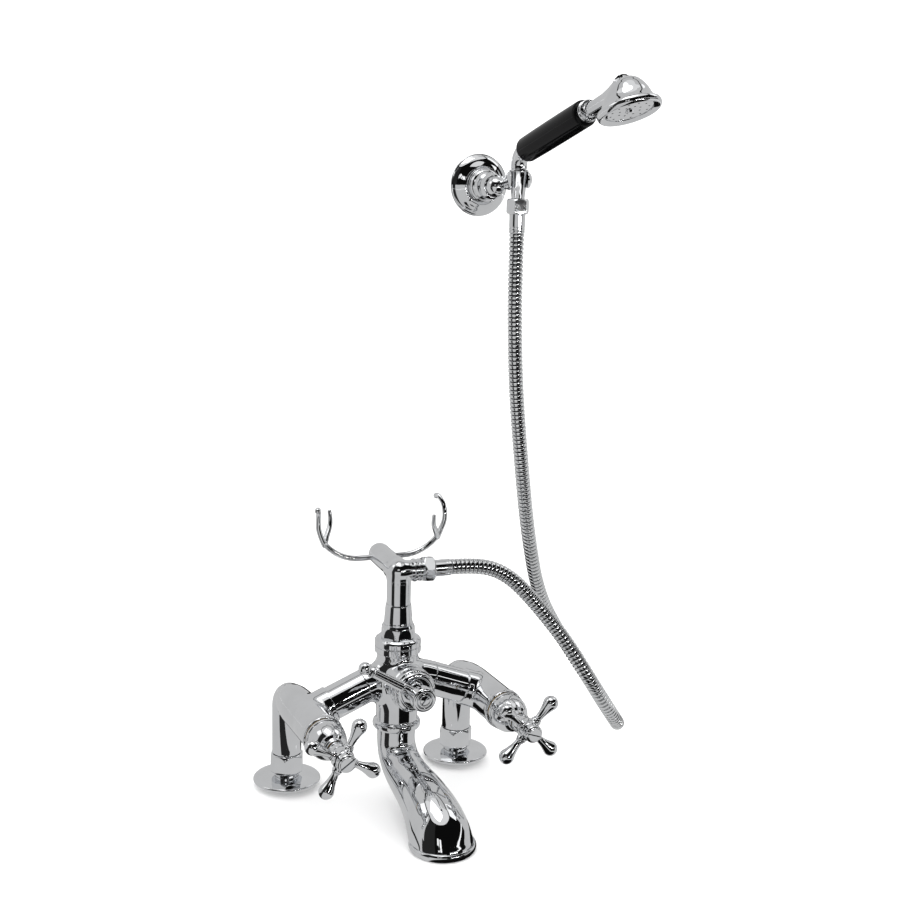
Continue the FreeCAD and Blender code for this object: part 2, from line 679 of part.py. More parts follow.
def diverter_lever():
    """Hub on the stem, a tapered arm with a step, and a ball with its collar."""
    at = V(0, -LEVER_Y, ARM_Z)
    back = LEVER_Y - LEVER_HUB_T / 2
    hub = lathe([(0, back), (LEVER_HUB_R - 1, back), (LEVER_HUB_R, back + 1.2),
                 (LEVER_HUB_R, back + LEVER_HUB_T), (0, back + LEVER_HUB_T)],
                V(0, 0, ARM_Z), FRONT)
    ball = LEVER_L
    collar = ball - LEVER_BALL_R - 1.2
    neck_r = LEVER_TIP_R - 0.6
    neck_at = ball - math.sqrt(LEVER_BALL_R ** 2 - neck_r ** 2)
    outline = [(0, 3), (LEVER_ROOT_R, 3), (LEVER_ROOT_R, LEVER_HUB_R + 9), (LEVER_TIP_R, collar - 2.4),
               (LEVER_TIP_R - 0.9, collar - 1.2), (LEVER_TIP_R + 0.9, collar - 0.9),
               (LEVER_TIP_R + 1.3, collar, 0), (LEVER_TIP_R + 0.9, collar + 0.9),
               (neck_r, neck_at), (LEVER_BALL_R, ball, 0), (0, ball + LEVER_BALL_R)]
    arm_solid = placed(lathe(outline, V(0, 0, 0), Z_AXIS), at, polar(1.0, LEVER_ANGLE, 0))
    lever = hub.fuse(arm_solid)
    back = LEVER_Y - LEVER_HUB_T / 2 - 1
    bore = rod(DIVERTER_STEM_R + SEAL_GAP, LEVER_HUB_T + 2, V(0, -back, ARM_Z), FRONT)
    return lever.cut(bore)


def diverter_cap():
    """Round stepped cap that holds the lever, with a screwdriver slot."""
    front = LEVER_Y + LEVER_HUB_T / 2
    at = V(0, -front, ARM_Z)
    disc = lathe([(0, 0), (CAP_DISC_R - 0.6, 0), (CAP_DISC_R, 0.8), (CAP_DISC_R, CAP_DISC_T - 2.4),
                  (CAP_DISC_R - 0.7, CAP_DISC_T - 0.7, 0), (CAP_DISC_R - 2.4, CAP_DISC_T),
                  (8.0, CAP_DISC_T), (7.4, CAP_DISC_T - 1.2), (6.8, CAP_DISC_T),
                  (0, CAP_DISC_T + 0.4)], at, FRONT)
    slot = Part.makeBox(12.0, BUTTON_SLOT_W, 2 * BUTTON_SLOT_D,
                        V(-6.0, -BUTTON_SLOT_W / 2, CAP_DISC_T + 0.4 - BUTTON_SLOT_D))
    slot = placed(slot, at, FRONT)
    slot.rotate(at, FRONT, CAP_SLOT_ANGLE)
    shank = rod(2.0, front - DIVERTER_STEM_FRONT, at, Y_AXIS)
    return disc.cut(slot).fuse(shank)


# Spout

SPOUT_LINE = [
    (COLUMN_Y, 64.0, SPOUT_R, 90.0),
    (COLUMN_Y, 52.0, SPOUT_R, 90.0),
    (66.0, 40.0, 18.6, 60.0),
    (80.0, 31.5, 19.4, 28.0),
    (100.0, 27.0, 20.6, 12.0),
    (124.0, 23.5, 22.6, 10.0),
    (146.0, 17.5, 25.2, 24.0),
    (162.0, 9.0, 27.6, 48.0),
    (172.0, -1.0, 28.8, 78.0),
]


def spout_loft(shrink):
    wires = []
    for (y, z, radius, fall) in SPOUT_LINE:
        turn = math.radians(fall)
        normal = V(0, -math.cos(turn), -math.sin(turn))
        wires.append(Part.Wire([Part.makeCircle(radius - shrink, V(0, -y, z), normal)]))
    return Part.makeLoft(wires, True, False)


def spout():
    under = COLUMN_BASE_Z - RING_H
    spigot = rod(SPOUT_SPIGOT_R, SPOUT_SPIGOT_L, COLUMN + V(0, 0, under), Z_AXIS)
    top = rod(SPOUT_R, under - SPOUT_LINE[0][1], COLUMN + V(0, 0, SPOUT_LINE[0][1]), Z_AXIS)
    shell = spout_loft(0).multiFuse([top, spigot])
    bore = spout_loft(SPOUT_WALL)
    through = rod(SPOUT_SPIGOT_R - SPOUT_WALL, 40, COLUMN + V(0, 0, SPOUT_LINE[1][1]), Z_AXIS)
    rim = V(0, -MOUTH_Y, MOUTH_Z)
    skirt = rod(MOUTH_R, 9.0, rim, Z_AXIS)
    bead = lathe([(MOUTH_R - SPOUT_WALL, 0), (MOUTH_BEAD_R - 1.6, 0), (MOUTH_BEAD_R, MOUTH_BEAD_H / 2, 0),
                  (MOUTH_BEAD_R - 1.6, MOUTH_BEAD_H), (MOUTH_R - SPOUT_WALL, MOUTH_BEAD_H)],
                 rim, Z_AXIS)
    under_cut = rod(2 * MOUTH_R, MOUTH_R, rim, DOWN)
    mouth = rod(MOUTH_R - SPOUT_WALL, 14.0, rim, Z_AXIS)
    shell = shell.fuse(skirt).cut(under_cut).cut(bore).cut(through).cut(mouth)
    return shell.fuse(bead)


def spout_seal():
    z = COLUMN_BASE_Z - RING_H + SPOUT_SPIGOT_L
    return tube(SPOUT_SPIGOT_R - 0.6, COLUMN_BORE_R - 1.5, 0.9, COLUMN + V(0, 0, z), Z_AXIS)


# Riser with its nut, sleeve, stem, hose outlet and cradle

YAW = math.radians(RISER_YAW)
OUTLET_DIR = V(math.cos(YAW), math.sin(YAW), 0)
HORN_DIR = V(-math.sin(YAW), math.cos(YAW), 0)
STEM_TOP = COLUMN + V(0, 0, OUTLET_Z)


def riser_nut():
    at = COLUMN + V(0, 0, CAP_TOP_Z - RISER_NUT_SINK)
    nut = barrel_nut(RISER_NUT_ACROSS, RISER_NUT_END_R, RISER_NUT_R, RISER_NUT_H,
                     STEM_R + SCREW_GAP, at, Z_AXIS, -115.0)
    above = rod(2 * RISER_NUT_R, RISER_NUT_H, COLUMN + V(0, 0, CAP_TOP_Z), Z_AXIS)
    return nut.common(above)


def riser_sleeve():
    base = CAP_TOP_Z - RISER_NUT_SINK + RISER_NUT_H
    outline = [(STEM_R + SCREW_GAP, base), (SLEEVE_R, base), (SLEEVE_R, base + 1.5),
               (SLEEVE_TOP_R, SLEEVE_TOP_Z - 1.2), (SLEEVE_TOP_R - 0.6, SLEEVE_TOP_Z),
               (STEM_R + SCREW_GAP, SLEEVE_TOP_Z)]
    return lathe(outline, COLUMN, Z_AXIS)


def yoke_centre():
    return STEM_TOP + HORN_DIR * YOKE_AT - V(0, 0, YOKE_DROP)


def riser_stem():
    base = CAP_TOP_Z - STEM_SEAT_L
    bend_z = OUTLET_Z - STEM_ELBOW_R
    stem = rod(STEM_R, bend_z - base, COLUMN + V(0, 0, base), Z_AXIS)
    foot = rod(10.2, 16, COLUMN + V(0, 0, base - 10), Z_AXIS)
    pivot = COLUMN + HORN_DIR * STEM_ELBOW_R + V(0, 0, bend_z)
    disc = Part.Face(Part.Wire(Part.makeCircle(STEM_R, COLUMN + V(0, 0, bend_z), Z_AXIS)))
    elbow = disc.revolve(pivot, OUTLET_DIR, -90)
    horn_start = STEM_TOP + HORN_DIR * STEM_ELBOW_R
    taper = 10.0
    horn = cone(STEM_R, HORN_R, taper, horn_start, HORN_DIR)
    horn = horn.fuse(rod(HORN_R, HORN_L - STEM_ELBOW_R - taper, horn_start + HORN_DIR * taper, HORN_DIR))
    dome = Part.makeSphere(HORN_R, STEM_TOP + HORN_DIR * HORN_L)
    side_z = STEM_TOP
    nipple = lathe([(0, 0), (STEM_R - 1.5, 0), (STEM_R - 1.5, 10.5), (NIPPLE_R, 11.6),
                    (NIPPLE_R, 13.0), (NIPPLE_R + 1.3, 13.4), (NIPPLE_R + 1.3, 15.6),
                    (NIPPLE_R, 16.0), (NIPPLE_R, 18.0), (NIPPLE_R + 1.0, 18.4),
                    (NIPPLE_R + 1.0, 20.6), (NIPPLE_R - 0.6, 21.2), (NIPPLE_R - 0.6, NIPPLE_END),
                    (FERRULE_R, NIPPLE_END), (FERRULE_R, NIPPLE_END + SPIGOT_L),
                    (0, NIPPLE_END + SPIGOT_L)], side_z, OUTLET_DIR)
    boss = Part.makeSphere(STEM_R, STEM_TOP)
    solid = stem.multiFuse([foot, elbow, horn, dome, nipple, boss])
    solid = solid.cut(rod(STEM_BORE_R, OUTLET_Z - base + 10, COLUMN + V(0, 0, base - 10), Z_AXIS))
    solid = solid.cut(Part.makeSphere(STEM_BORE_R, STEM_TOP))
    solid = solid.cut(rod(NIPPLE_BORE_R, NIPPLE_END + 5, STEM_TOP, OUTLET_DIR))
    cross = rod(YOKE_R + SEAL_GAP, 4 * STEM_R, yoke_centre() - OUTLET_DIR * 2 * STEM_R, OUTLET_DIR)
    solid = solid.cut(cross)
    grub = rod(GRUB_R + SEAL_GAP, 20, yoke_centre(), DOWN)
    return solid.cut(grub)


def yoke_screw():
    return rod(GRUB_R, HORN_R - YOKE_DROP - YOKE_R - 0.5, yoke_centre() - V(0, 0, YOKE_R), DOWN)


def taper_path(points, radii):
    """Smooth tapering limb through a few points with round ends."""
    curve = Part.BSplineCurve()
    curve.interpolate([V(*p) for p in points])
    first, last = curve.FirstParameter, curve.LastParameter
    count = len(radii)
    wires = []
    for i in range(count):
        t = first + (last - first) * i / (count - 1)
        circle = Part.makeCircle(radii[i], curve.value(t), V(*curve.tangent(t)[0]))
        wires.append(Part.Wire([circle]))
    limb = Part.makeLoft(wires, True, False)
    return limb.fuse(Part.makeSphere(radii[-1] * 1.02, curve.value(last)))


# The claws' tines, from the yoke's end: points, and radii at even steps along each
LONG_RADII = [2.8, 2.7, 2.6, 2.5, 2.4, 2.3, 2.5, 2.9]
SHORT_RADII = [2.8, 2.7, 2.5, 2.2, 1.9]
LEFT_SHORT_RADII = [2.8, 2.7, 2.5, 2.2, 1.9, 2.0]
RIGHT_CLAW = [
    ([(0, 0, -3), (3.6, 0, 5), (6.6, 0, 13), (7.4, 0.5, 21), (6.4, 3.5, 30), (4.0, 8.5, 35.5),
      (2.6, 12.5, 35.5)], LONG_RADII),
    ([(0, 0, -3), (-3.5, -5.0, 4.5), (-7.8, -10.5, 12.5), (-9.4, -15.0, 22.5)], SHORT_RADII),
]
LEFT_CLAW = [
    ([(0, 0, -3), (-3.4, 0, 5), (-5.9, -0.5, 13), (-6.6, -1.5, 21), (-7.4, -4.5, 29), (-9.0, -9.0, 34.3),
      (-10.6, -13.0, 34.6)], LONG_RADII),
    ([(0, 0, -3), (3.5, 5.0, 4.5), (7.8, 10.5, 12.5), (9.2, 13.6, 19.5), (8.8, 15.4, 26.0)], LEFT_SHORT_RADII),
]


def cradle_yoke():
    """Bent rod through the horn with a two tined claw at each end, made in its
    own frame and turned to the riser's yaw."""
    arc_x = YOKE_HALF - YOKE_FLAT
    radius = (arc_x ** 2 + YOKE_RISE ** 2) / (2 * YOKE_RISE)
    half = math.asin(arc_x / radius) / 2
    mid = V(YOKE_FLAT + radius * math.sin(half), 0, radius * (1 - math.cos(half)))
    end = V(YOKE_HALF, 0, YOKE_RISE)
    pieces = []
    for side, claw in ((1, RIGHT_CLAW), (-1, LEFT_CLAW)):
        flat = Part.LineSegment(V(0, 0, 0), V(side * YOKE_FLAT, 0, 0))
        bend = Part.Arc(V(side * YOKE_FLAT, 0, 0), V(side * mid.x, 0, mid.z), V(side * end.x, 0, end.z))
        path = Part.Wire([flat.toShape(), bend.toShape()])
        profile = Part.Wire([Part.makeCircle(YOKE_R, V(0, 0, 0), V(side, 0, 0))])
        pieces.append(path.makePipeShell([profile], True, False))
        knot = Part.makeSphere(YOKE_R + 0.4, V(side * end.x, 0, end.z))
        pieces.append(knot)
        for points, radii in claw:
            moved = [(p[0] + side * end.x, p[1], p[2] + end.z + 1.5) for p in points]
            pieces.append(taper_path(moved, radii))
    yoke = pieces[0].multiFuse(pieces[1:])
    yoke.Placement = FreeCAD.Placement(yoke_centre(), FreeCAD.Rotation(Z_AXIS, RISER_YAW))
    return yoke


# Hose, its nuts and ferrules

def hose_nut(across, at, along, length, spin):
    """Hexagonal union nut, open at both ends, its ends turned to a chamfer."""
    corner = across / math.sqrt(3)
    blank = lathe([(0, 0), (across / 2 - 0.2, 0), (corner, 2.0), (corner, length - 2.0),
                   (across / 2 - 0.2, length), (0, length)], at, along)
    nut = blank.common(hexagon(across, length, at, along, spin))
    return nut.cut(rod(FERRULE_R + SCREW_GAP, length, at, along))


def ferrule(at, along, length):
    """Crimped sleeve with its seat collar behind the nut."""
    outline = [(HOSE_BORE_R, 0), (FERRULE_R - 1.2, 0), (FERRULE_R - 1.2, 1), (FERRULE_R, 1.6),
               (FERRULE_R, length - 1.2), (FERRULE_R - 0.8, length), (HOSE_BORE_R, length)]
    return lathe(outline, at, along)


def route_arcs():
    """Straight runs joined by tangent arcs. Gives the pieces of the path as
    (kind, data, length) and prints the radii."""
    points = [V(*p) for p in ROUTE]
    steps = []
    start = points[0]
    radii = []
    for i in range(1, len(points) - 1):
        back = points[i - 1] - points[i]
        ahead = points[i + 1] - points[i]
        shorter = min(back.Length, ahead.Length)
        a = V(back).normalize()
        b = V(ahead).normalize()
        turn = math.pi - a.getAngle(b)
        reach = ROUTE_ARC_SHARE * shorter
        radius = reach / math.tan(turn / 2)
        radii.append(round(radius, 1))
        first = points[i] + a * reach
        last = points[i] + b * reach
        centre = points[i] + (a + b).normalize() * (radius / math.cos(turn / 2))
        steps.append(("line", (start, first), start.distanceToPoint(first)))
        steps.append(("arc", (centre, first, last, radius, turn), radius * turn))
        start = last
    steps.append(("line", (start, points[-1]), start.distanceToPoint(points[-1])))
    print("hose radii", radii)
    return steps


def route_at(steps, distance):
    """Point and direction at a distance along the route."""
    for kind, data, length in steps:
        if distance <= length or (kind, data, length) == steps[-1]:
            if kind == "line":
                direction = (data[1] - data[0]).normalize()
                return data[0] + direction * distance, direction
            centre, first, last, radius, turn = data
            u = (first - centre).normalize()
            w = (last - centre)
            w = (w - u * w.dot(u)).normalize()
            angle = distance / radius
            point = centre + u * (radius * math.cos(angle)) + w * (radius * math.sin(angle))
            return point, w * math.cos(angle) - u * math.sin(angle)
        distance -= length
    return None


def route_circle(point, direction, radius):
    """Circle square to the route, its X axis steady along the way."""
    steady = V(*HOSE_SIDE)
    across = direction * steady.dot(direction)
    circle = Part.Circle(point, direction, radius)
    circle.XAxis = (steady - across).normalize()
    return Part.Wire([circle.toShape()])


def hose():
    steps = route_arcs()
    total = sum(step[2] for step in steps)
    plain = 2 * HOSE_R
    pitch = (total - 2 * plain) / HOSE_RIBS
    root = HOSE_R - HOSE_RIB
    marks = [(0.0, root)]
    for i in range(HOSE_RIBS):
        at = plain + pitch * i
        marks += [(at, root), (at + pitch * 0.25, HOSE_R), (at + pitch * 0.7, HOSE_R),
                  (at + pitch * 0.95, root)]
    marks.append((total, root))
    wires = []
    for distance, radius in marks:
        point, direction = route_at(steps, distance)
        wires.append(route_circle(point, direction, radius))
    skin = Part.makeLoft(wires, True, True)
    bores = []
    for i in range(HOSE_RIBS // 2 + 1):
        point, direction = route_at(steps, total * i / (HOSE_RIBS // 2))
        bores.append(route_circle(point, direction, HOSE_BORE_R))
    body = skin.cut(Part.makeLoft(bores, True, True))
    ratio = body.Volume / (total * math.pi * (HOSE_R ** 2 - HOSE_BORE_R ** 2))
    print("hose length", round(total, 1), "volume share of a full wall", round(ratio, 3))
    return body


# Wall bracket

BRACKET = V(BRACKET_X, WALL_Y, BRACKET_Z)
BALL = BRACKET + FRONT * BALL_AT
TAIL = V(TAIL_X, -TAIL_Y, 0)


def wall_plate():
    plate = tube(WALL_PLATE_R, 6.0, WALL_PLATE_T, BRACKET, FRONT)
    for side in (-1, 1):
        at = BRACKET + V(side * WALL_SCREW_SPACING / 2, 0, 0)
        plate = plate.cut(rod(WALL_SCREW_R, WALL_PLATE_T, at, FRONT))
    return plate


def wall_flange():
    t = WALL_FLANGE_T
    wall = 2.2
    inner = WALL_PLATE_R + SCREW_GAP
    outline = [(inner, 0), (WALL_FLANGE_R - 0.8, 0), (WALL_FLANGE_R, 1.2, 0), (WALL_FLANGE_R - 0.5, 2.6),
               (WALL_FLANGE_R - 3.6, 5.6, 0), (23.5, 7.6), (21.0, 9.2, 0), (18.9, 10.4),
               (BOSS_R + FACE_GAP, 10.4), (BOSS_R + FACE_GAP, t - 2.5), (inner, t - 2.5)]
    return lathe(outline, BRACKET, FRONT)


def bracket_boss():
    """Turned boss on the plate with the seat for the ball."""
    foot = WALL_PLATE_T
    outline = [(0, foot), (BOSS_R - 2.8, foot), (BOSS_R - 2.8, foot + 2.4), (BOSS_R, foot + 3.0),
               (BOSS_R, 17.5), (BOSS_R - 1.0, 19.5, 0), (BOSS_R - 2.4, 20.4),
               (SOCKET_R, BOSS_FRONT), (SOCKET_R, BALL_AT - 8), (SOCKET_R - 1.6, BALL_AT - SOCKET_BACK),
               (0, BALL_AT - SOCKET_BACK)]
    boss = lathe(outline, BRACKET, FRONT)
    ball_room = Part.makeSphere(BALL_R + RUN_GAP, BALL)
    boss = boss.cut(ball_room)
    return boss


def holder_arm():
    """Ball, conical arm and the open ring that carries the hand shower."""
    ring_centre = TAIL + V(0, 0, HOLDER_Z)
    ball = Part.makeSphere(BALL_R, BALL)
    toward = ring_centre - BALL
    reach = toward.Length - HOLDER_R + 2.5
    direction = V(toward).normalize()
    flare_at = BALL_R - 1.6
    flare_l = 4.0
    neck = rod(NECK_MIN_R, flare_at + 0.5, BALL, direction)
    neck = neck.fuse(cone(NECK_MIN_R, NECK_MAX_R, flare_l, BALL + direction * flare_at, direction))
    band = rod(NECK_MAX_R, reach - flare_at - flare_l, BALL + direction * (flare_at + flare_l), direction)
    base = ring_centre - V(0, 0, HOLDER_H / 2)
    ring = lathe([(0, 0), (HOLDER_R - 0.8, 0), (HOLDER_R, 1.0, 0), (HOLDER_R, HOLDER_H - 1.0),
                  (HOLDER_R - 0.8, HOLDER_H), (0, HOLDER_H)], base, Z_AXIS)
    holder = ball.multiFuse([neck, band, ring])
    slope = (CONE_TOP_R - CONE_BASE_R) / HOLDER_H
    low = CONE_BASE_R + FACE_GAP
    over = 4.0
    seat = cone(low - over * slope, low + slope * (HOLDER_H + over), HOLDER_H + 2 * over,
                base - V(0, 0, over), Z_AXIS)
    holder = holder.cut(seat)
    slot_w = HOLDER_SLOT
    slot = Part.makeBox(slot_w, 3 * HOLDER_R, HOLDER_H + 10,
                        V(-slot_w / 2, -3 * HOLDER_R, -5))
    slot.Placement = FreeCAD.Placement(base, FreeCAD.Rotation(Z_AXIS, -20)).multiply(slot.Placement)
    return holder.cut(slot)


# Hand shower

TILT = math.radians(HANDLE_TILT)
HANDLE_DIR = V(0, -math.cos(TILT), math.sin(TILT))
BEND = TAIL + V(0, 0, BEND_Z)


def handset_tail():
    """Cone for the holder, neck bend and the tube that carries the grip."""
    base = TAIL_BASE_Z
    cone_top = HOLDER_Z + HOLDER_H / 2
    slope = (CONE_TOP_R - CONE_BASE_R) / HOLDER_H
    low = CONE_BASE_R - slope * (HOLDER_Z - HOLDER_H / 2 - base)
    turn = math.pi / 2 - TILT
    reach = BEND_R * math.tan(turn / 2)
    bend_start = BEND_Z - reach
    outline = [(0, base - SPIGOT_L), (FERRULE_R, base - SPIGOT_L), (FERRULE_R, base), (low, base),
               (CONE_TOP_R, cone_top), (CONE_TOP_R + 0.5, cone_top + 0.6),
               (CONE_TOP_R + 0.5, cone_top + 1.8), (BEND_TUBE_R - 0.4, cone_top + 2.3),
               (BEND_TUBE_R - 0.4, cone_top + 3.0), (BEND_TUBE_R + 0.3, cone_top + 3.4),
               (BEND_TUBE_R, bend_start), (0, bend_start)]
    tail = lathe(outline, TAIL, Z_AXIS)
    pivot = TAIL + V(0, -BEND_R, bend_start)
    disc = Part.Face(Part.Wire(Part.makeCircle(BEND_TUBE_R, TAIL + V(0, 0, bend_start), Z_AXIS)))
    bend = disc.revolve(pivot, X_AXIS, math.degrees(turn))
    start = BEND + HANDLE_DIR * reach
    neck = rod(BEND_TUBE_R, GRIP_START - reach + GRIP_SEAT - 0.5, start, HANDLE_DIR)
    core = rod(GRIP_BORE_R, GRIP_START + GRIP_L + COLLAR_L - reach - 2, start, HANDLE_DIR)
    solid = tail.multiFuse([bend, neck, core])
    return solid.cut(rod(4.0, 30, TAIL + V(0, 0, base - SPIGOT_L), Z_AXIS))


def handset_grip():
    r = GRIP_R
    g = GRIP_ROUND
    arc = g * (1 - math.sqrt(0.5))
    bore = GRIP_BORE_R + SCREW_GAP
    outline = [(bore, 0), (r - g, 0), (r - arc, arc, 0), (r, g), (r, GRIP_L - g),
               (r - arc, GRIP_L - arc, 0), (r - g, GRIP_L), (bore, GRIP_L)]
    seat = rod(BEND_TUBE_R + SCREW_GAP, GRIP_SEAT, V(0, 0, 0), Z_AXIS)
    grip = lathe(outline, V(0, 0, 0), Z_AXIS).cut(seat)
    return placed(grip, BEND + HANDLE_DIR * GRIP_START, HANDLE_DIR)


def grip_collar():
    at = BEND + HANDLE_DIR * (GRIP_START + GRIP_L)
    bore = GRIP_BORE_R + SCREW_GAP
    outline = [(bore, 0), (COLLAR_R - 1.6, 0), (COLLAR_R - 1.6, 0.6), (COLLAR_R, 1.2), (COLLAR_R, 2.4),
               (COLLAR_R - 0.9, 2.9), (COLLAR_R - 0.9, 3.8), (COLLAR_R - 0.3, 4.3, 0),
               (NECK_R + 1.6, COLLAR_L), (bore, COLLAR_L)]
    return lathe(outline, at, HANDLE_DIR)


FACE_TURN = math.radians(FACE_TILT)
FACE_LEAN = math.radians(FACE_TWIST)
FACE_AXIS = V(math.sin(FACE_LEAN), math.cos(FACE_LEAN) * math.sin(FACE_TURN),
              math.cos(FACE_LEAN) * math.cos(FACE_TURN))
FACE_SIDE = Y_AXIS.cross(FACE_AXIS).normalize()
FACE_IN = FACE_AXIS.cross(FACE_SIDE)
FACE = V(FACE_X, FACE_Y, FACE_Z)


def bell_loft(shrink, levels):
    """Loft through circles given by height, radius and shifts inward and sideways."""
    wires = []
    for height, radius, inward, aside in levels:
        centre = FACE + FACE_AXIS * height + FACE_IN * inward + FACE_SIDE * aside
        wires.append(Part.Wire([Part.makeCircle(radius - shrink, centre, FACE_AXIS)]))
    return Part.makeLoft(wires, True, False)


def head_shell():
    """Bell of the hand shower with the neck that screws on the collar."""
    neck_start = BEND + HANDLE_DIR * (GRIP_START + GRIP_L + COLLAR_L)
    neck_end = FACE + FACE_AXIS * 18.0
    length = (neck_end - neck_start).dot(HANDLE_DIR)
    outline = [(0, 0), (NECK_R + 1.5, 0), (NECK_R + 0.2, 2.0), (NECK_R, 5.0),
               (NECK_R + 0.4, length * 0.45), (NECK_R + 3.5, length * 0.8, 0),
               (NECK_R + 6.0, length * 0.95), (0, length * 0.95)]
    neck = lathe(outline, neck_start, HANDLE_DIR)
    shell = bell_loft(0, BELL_LEVELS).fuse(neck)
    hollow = bell_loft(BELL_WALL, BELL_LEVELS[:-1])
    return shell.cut(hollow).cut(rod(3.0, length, neck_start, HANDLE_DIR))


def face_ring():
    """Round bead at the rim, with the cone inside it that holds the spray plate."""
    bore = PLATE_R + SCREW_GAP
    outline = [(bore, PLATE_DEPTH), (FACE_OPENING_R, 0.2), (FACE_OPENING_R + 0.8, 0), (FACE_R, 2.8, 0),
               (FACE_R - 1.0, FACE_RING_T - 1.3), (FACE_R - 3.0, FACE_RING_T), (bore, FACE_RING_T)]
    return lathe(outline, FACE, FACE_AXIS)


def spray_plate():
    """Pierced disc with a button at its centre."""
    plate = lathe([(0, -1.6), (2.4, -1.4), (3.4, -0.2), (3.8, 0.4), (PLATE_R - 2.0, 0), (PLATE_R, 0.6),
                   (PLATE_R, PLATE_T), (0, PLATE_T)], FACE + FACE_AXIS * PLATE_DEPTH, FACE_AXIS)
    for radius, count in SPRAY_ROWS:
        for i in range(count):
            turn = 2 * math.pi * i / count
            out = FACE_SIDE * math.cos(turn) + FACE_IN * math.sin(turn)
            plate = plate.cut(rod(SPRAY_HOLE_R, 8, FACE + out * radius, FACE_AXIS))
    return plate


def wall_screws():
    """The two screws of the wall plate."""
    solids = []
    for side in (-1, 1):
        at = BRACKET + V(side * WALL_SCREW_SPACING / 2, 0, 0)
        shank = rod(WALL_SCREW_R - SCREW_GAP, WALL_PLATE_T, at, FRONT)
        head = cone(4.2, 3.0, 1.6, at + FRONT * WALL_PLATE_T, FRONT)
        solids.append(shank.fuse(head))
    return Part.makeCompound(solids)


def build():
    for name, side in (("left", -1), ("right", 1)):
        x = side * INLET_SPACING / 2
        keep(name + "_deck_flange", deck_flange(x))
        keep(name + "_deck_tail", deck_tail(x))
        keep(name + "_leg_nut", leg_nut(x, 8.0 if side < 0 else -4.0))
        keep(name + "_valve_body", valve_body(side))
        keep(name + "_arm", arm(side))
        keep(name + "_headwork", headwork(x))
        keep(name + "_spindle", spindle(x))
        keep(name + "_jumper", jumper(x))
        keep(name + "_seat_washer", seat_washer(x))
        keep(name + "_headwork_cover", shroud(x))
        handle_angle = LEFT_HANDLE_ANGLE if side < 0 else RIGHT_HANDLE_ANGLE
        keep(name + "_cross_handle", cross_handle(x, handle_angle))
        slot_angle = LEFT_SLOT_ANGLE if side < 0 else RIGHT_SLOT_ANGLE
        keep(name + "_handle_screw", handle_screw(x, slot_angle))
    xs = (-INLET_SPACING / 2, INLET_SPACING / 2)
    keep("tail_washers", Part.makeCompound([tail_washer(x) for x in xs]))
    keep("spindle_seals", Part.makeCompound([spindle_seal(x) for x in xs]))
    keep("centre_body", centre_body())
    keep("column_cap", column_cap())
    keep("diverter_plug", diverter_plug())
    keep("diverter_bonnet", diverter_bonnet())
    keep("diverter_seal", diverter_seal())
    keep("diverter_lever", diverter_lever())
    keep("diverter_cap", diverter_cap())
    keep("spout", spout())
    keep("spout_seal", spout_seal())
    keep("riser_nut", riser_nut())
    keep("riser_sleeve", riser_sleeve())
    keep("riser_stem", riser_stem())
    keep("yoke_screw", yoke_screw())
    keep("cradle_yoke", cradle_yoke())
    nut_at = STEM_TOP + OUTLET_DIR * NIPPLE_END
    hose_from = V(*ROUTE[0])
    keep("outlet_hose_nut", hose_nut(HOSE_NUT_ACROSS, nut_at, OUTLET_DIR, HOSE_NUT_L, 14.0))
    keep("outlet_hose_ferrule", ferrule(nut_at + OUTLET_DIR * SPIGOT_L, OUTLET_DIR,
                                        nut_at.distanceToPoint(hose_from) - SPIGOT_L))
    keep("hose", hose())
    tail_nut_at = TAIL + V(0, 0, TAIL_BASE_Z)
    keep("handset_hose_nut", hose_nut(TAIL_NUT_ACROSS, tail_nut_at, DOWN, TAIL_NUT_L, 10.0))
    keep("handset_hose_ferrule", ferrule(tail_nut_at - V(0, 0, SPIGOT_L), DOWN,
                                         TAIL_BASE_Z - SPIGOT_L - ROUTE[-1][2]))
    keep("wall_plate", wall_plate())
    keep("wall_screws", wall_screws())
    keep("wall_flange", wall_flange())
    keep("bracket_boss", bracket_boss())
    keep("holder_arm", holder_arm())
    keep("handset_tail", handset_tail())
    keep("handset_grip", handset_grip())
    keep("grip_collar", grip_collar())
    keep("head_shell", head_shell())
    keep("face_ring", face_ring())
    keep("spray_plate", spray_plate())


build()
os.makedirs("parts", exist_ok=True)
for name, shape in nodes.items():
    if not shape.isValid():
        print("not valid", name)
    shape.exportStep("parts/" + name + ".step")
print(len(nodes), "nodes")
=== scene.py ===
import json
import math

import bpy
import bmesh
import numpy as np
from mathutils import Matrix, Quaternion, Vector


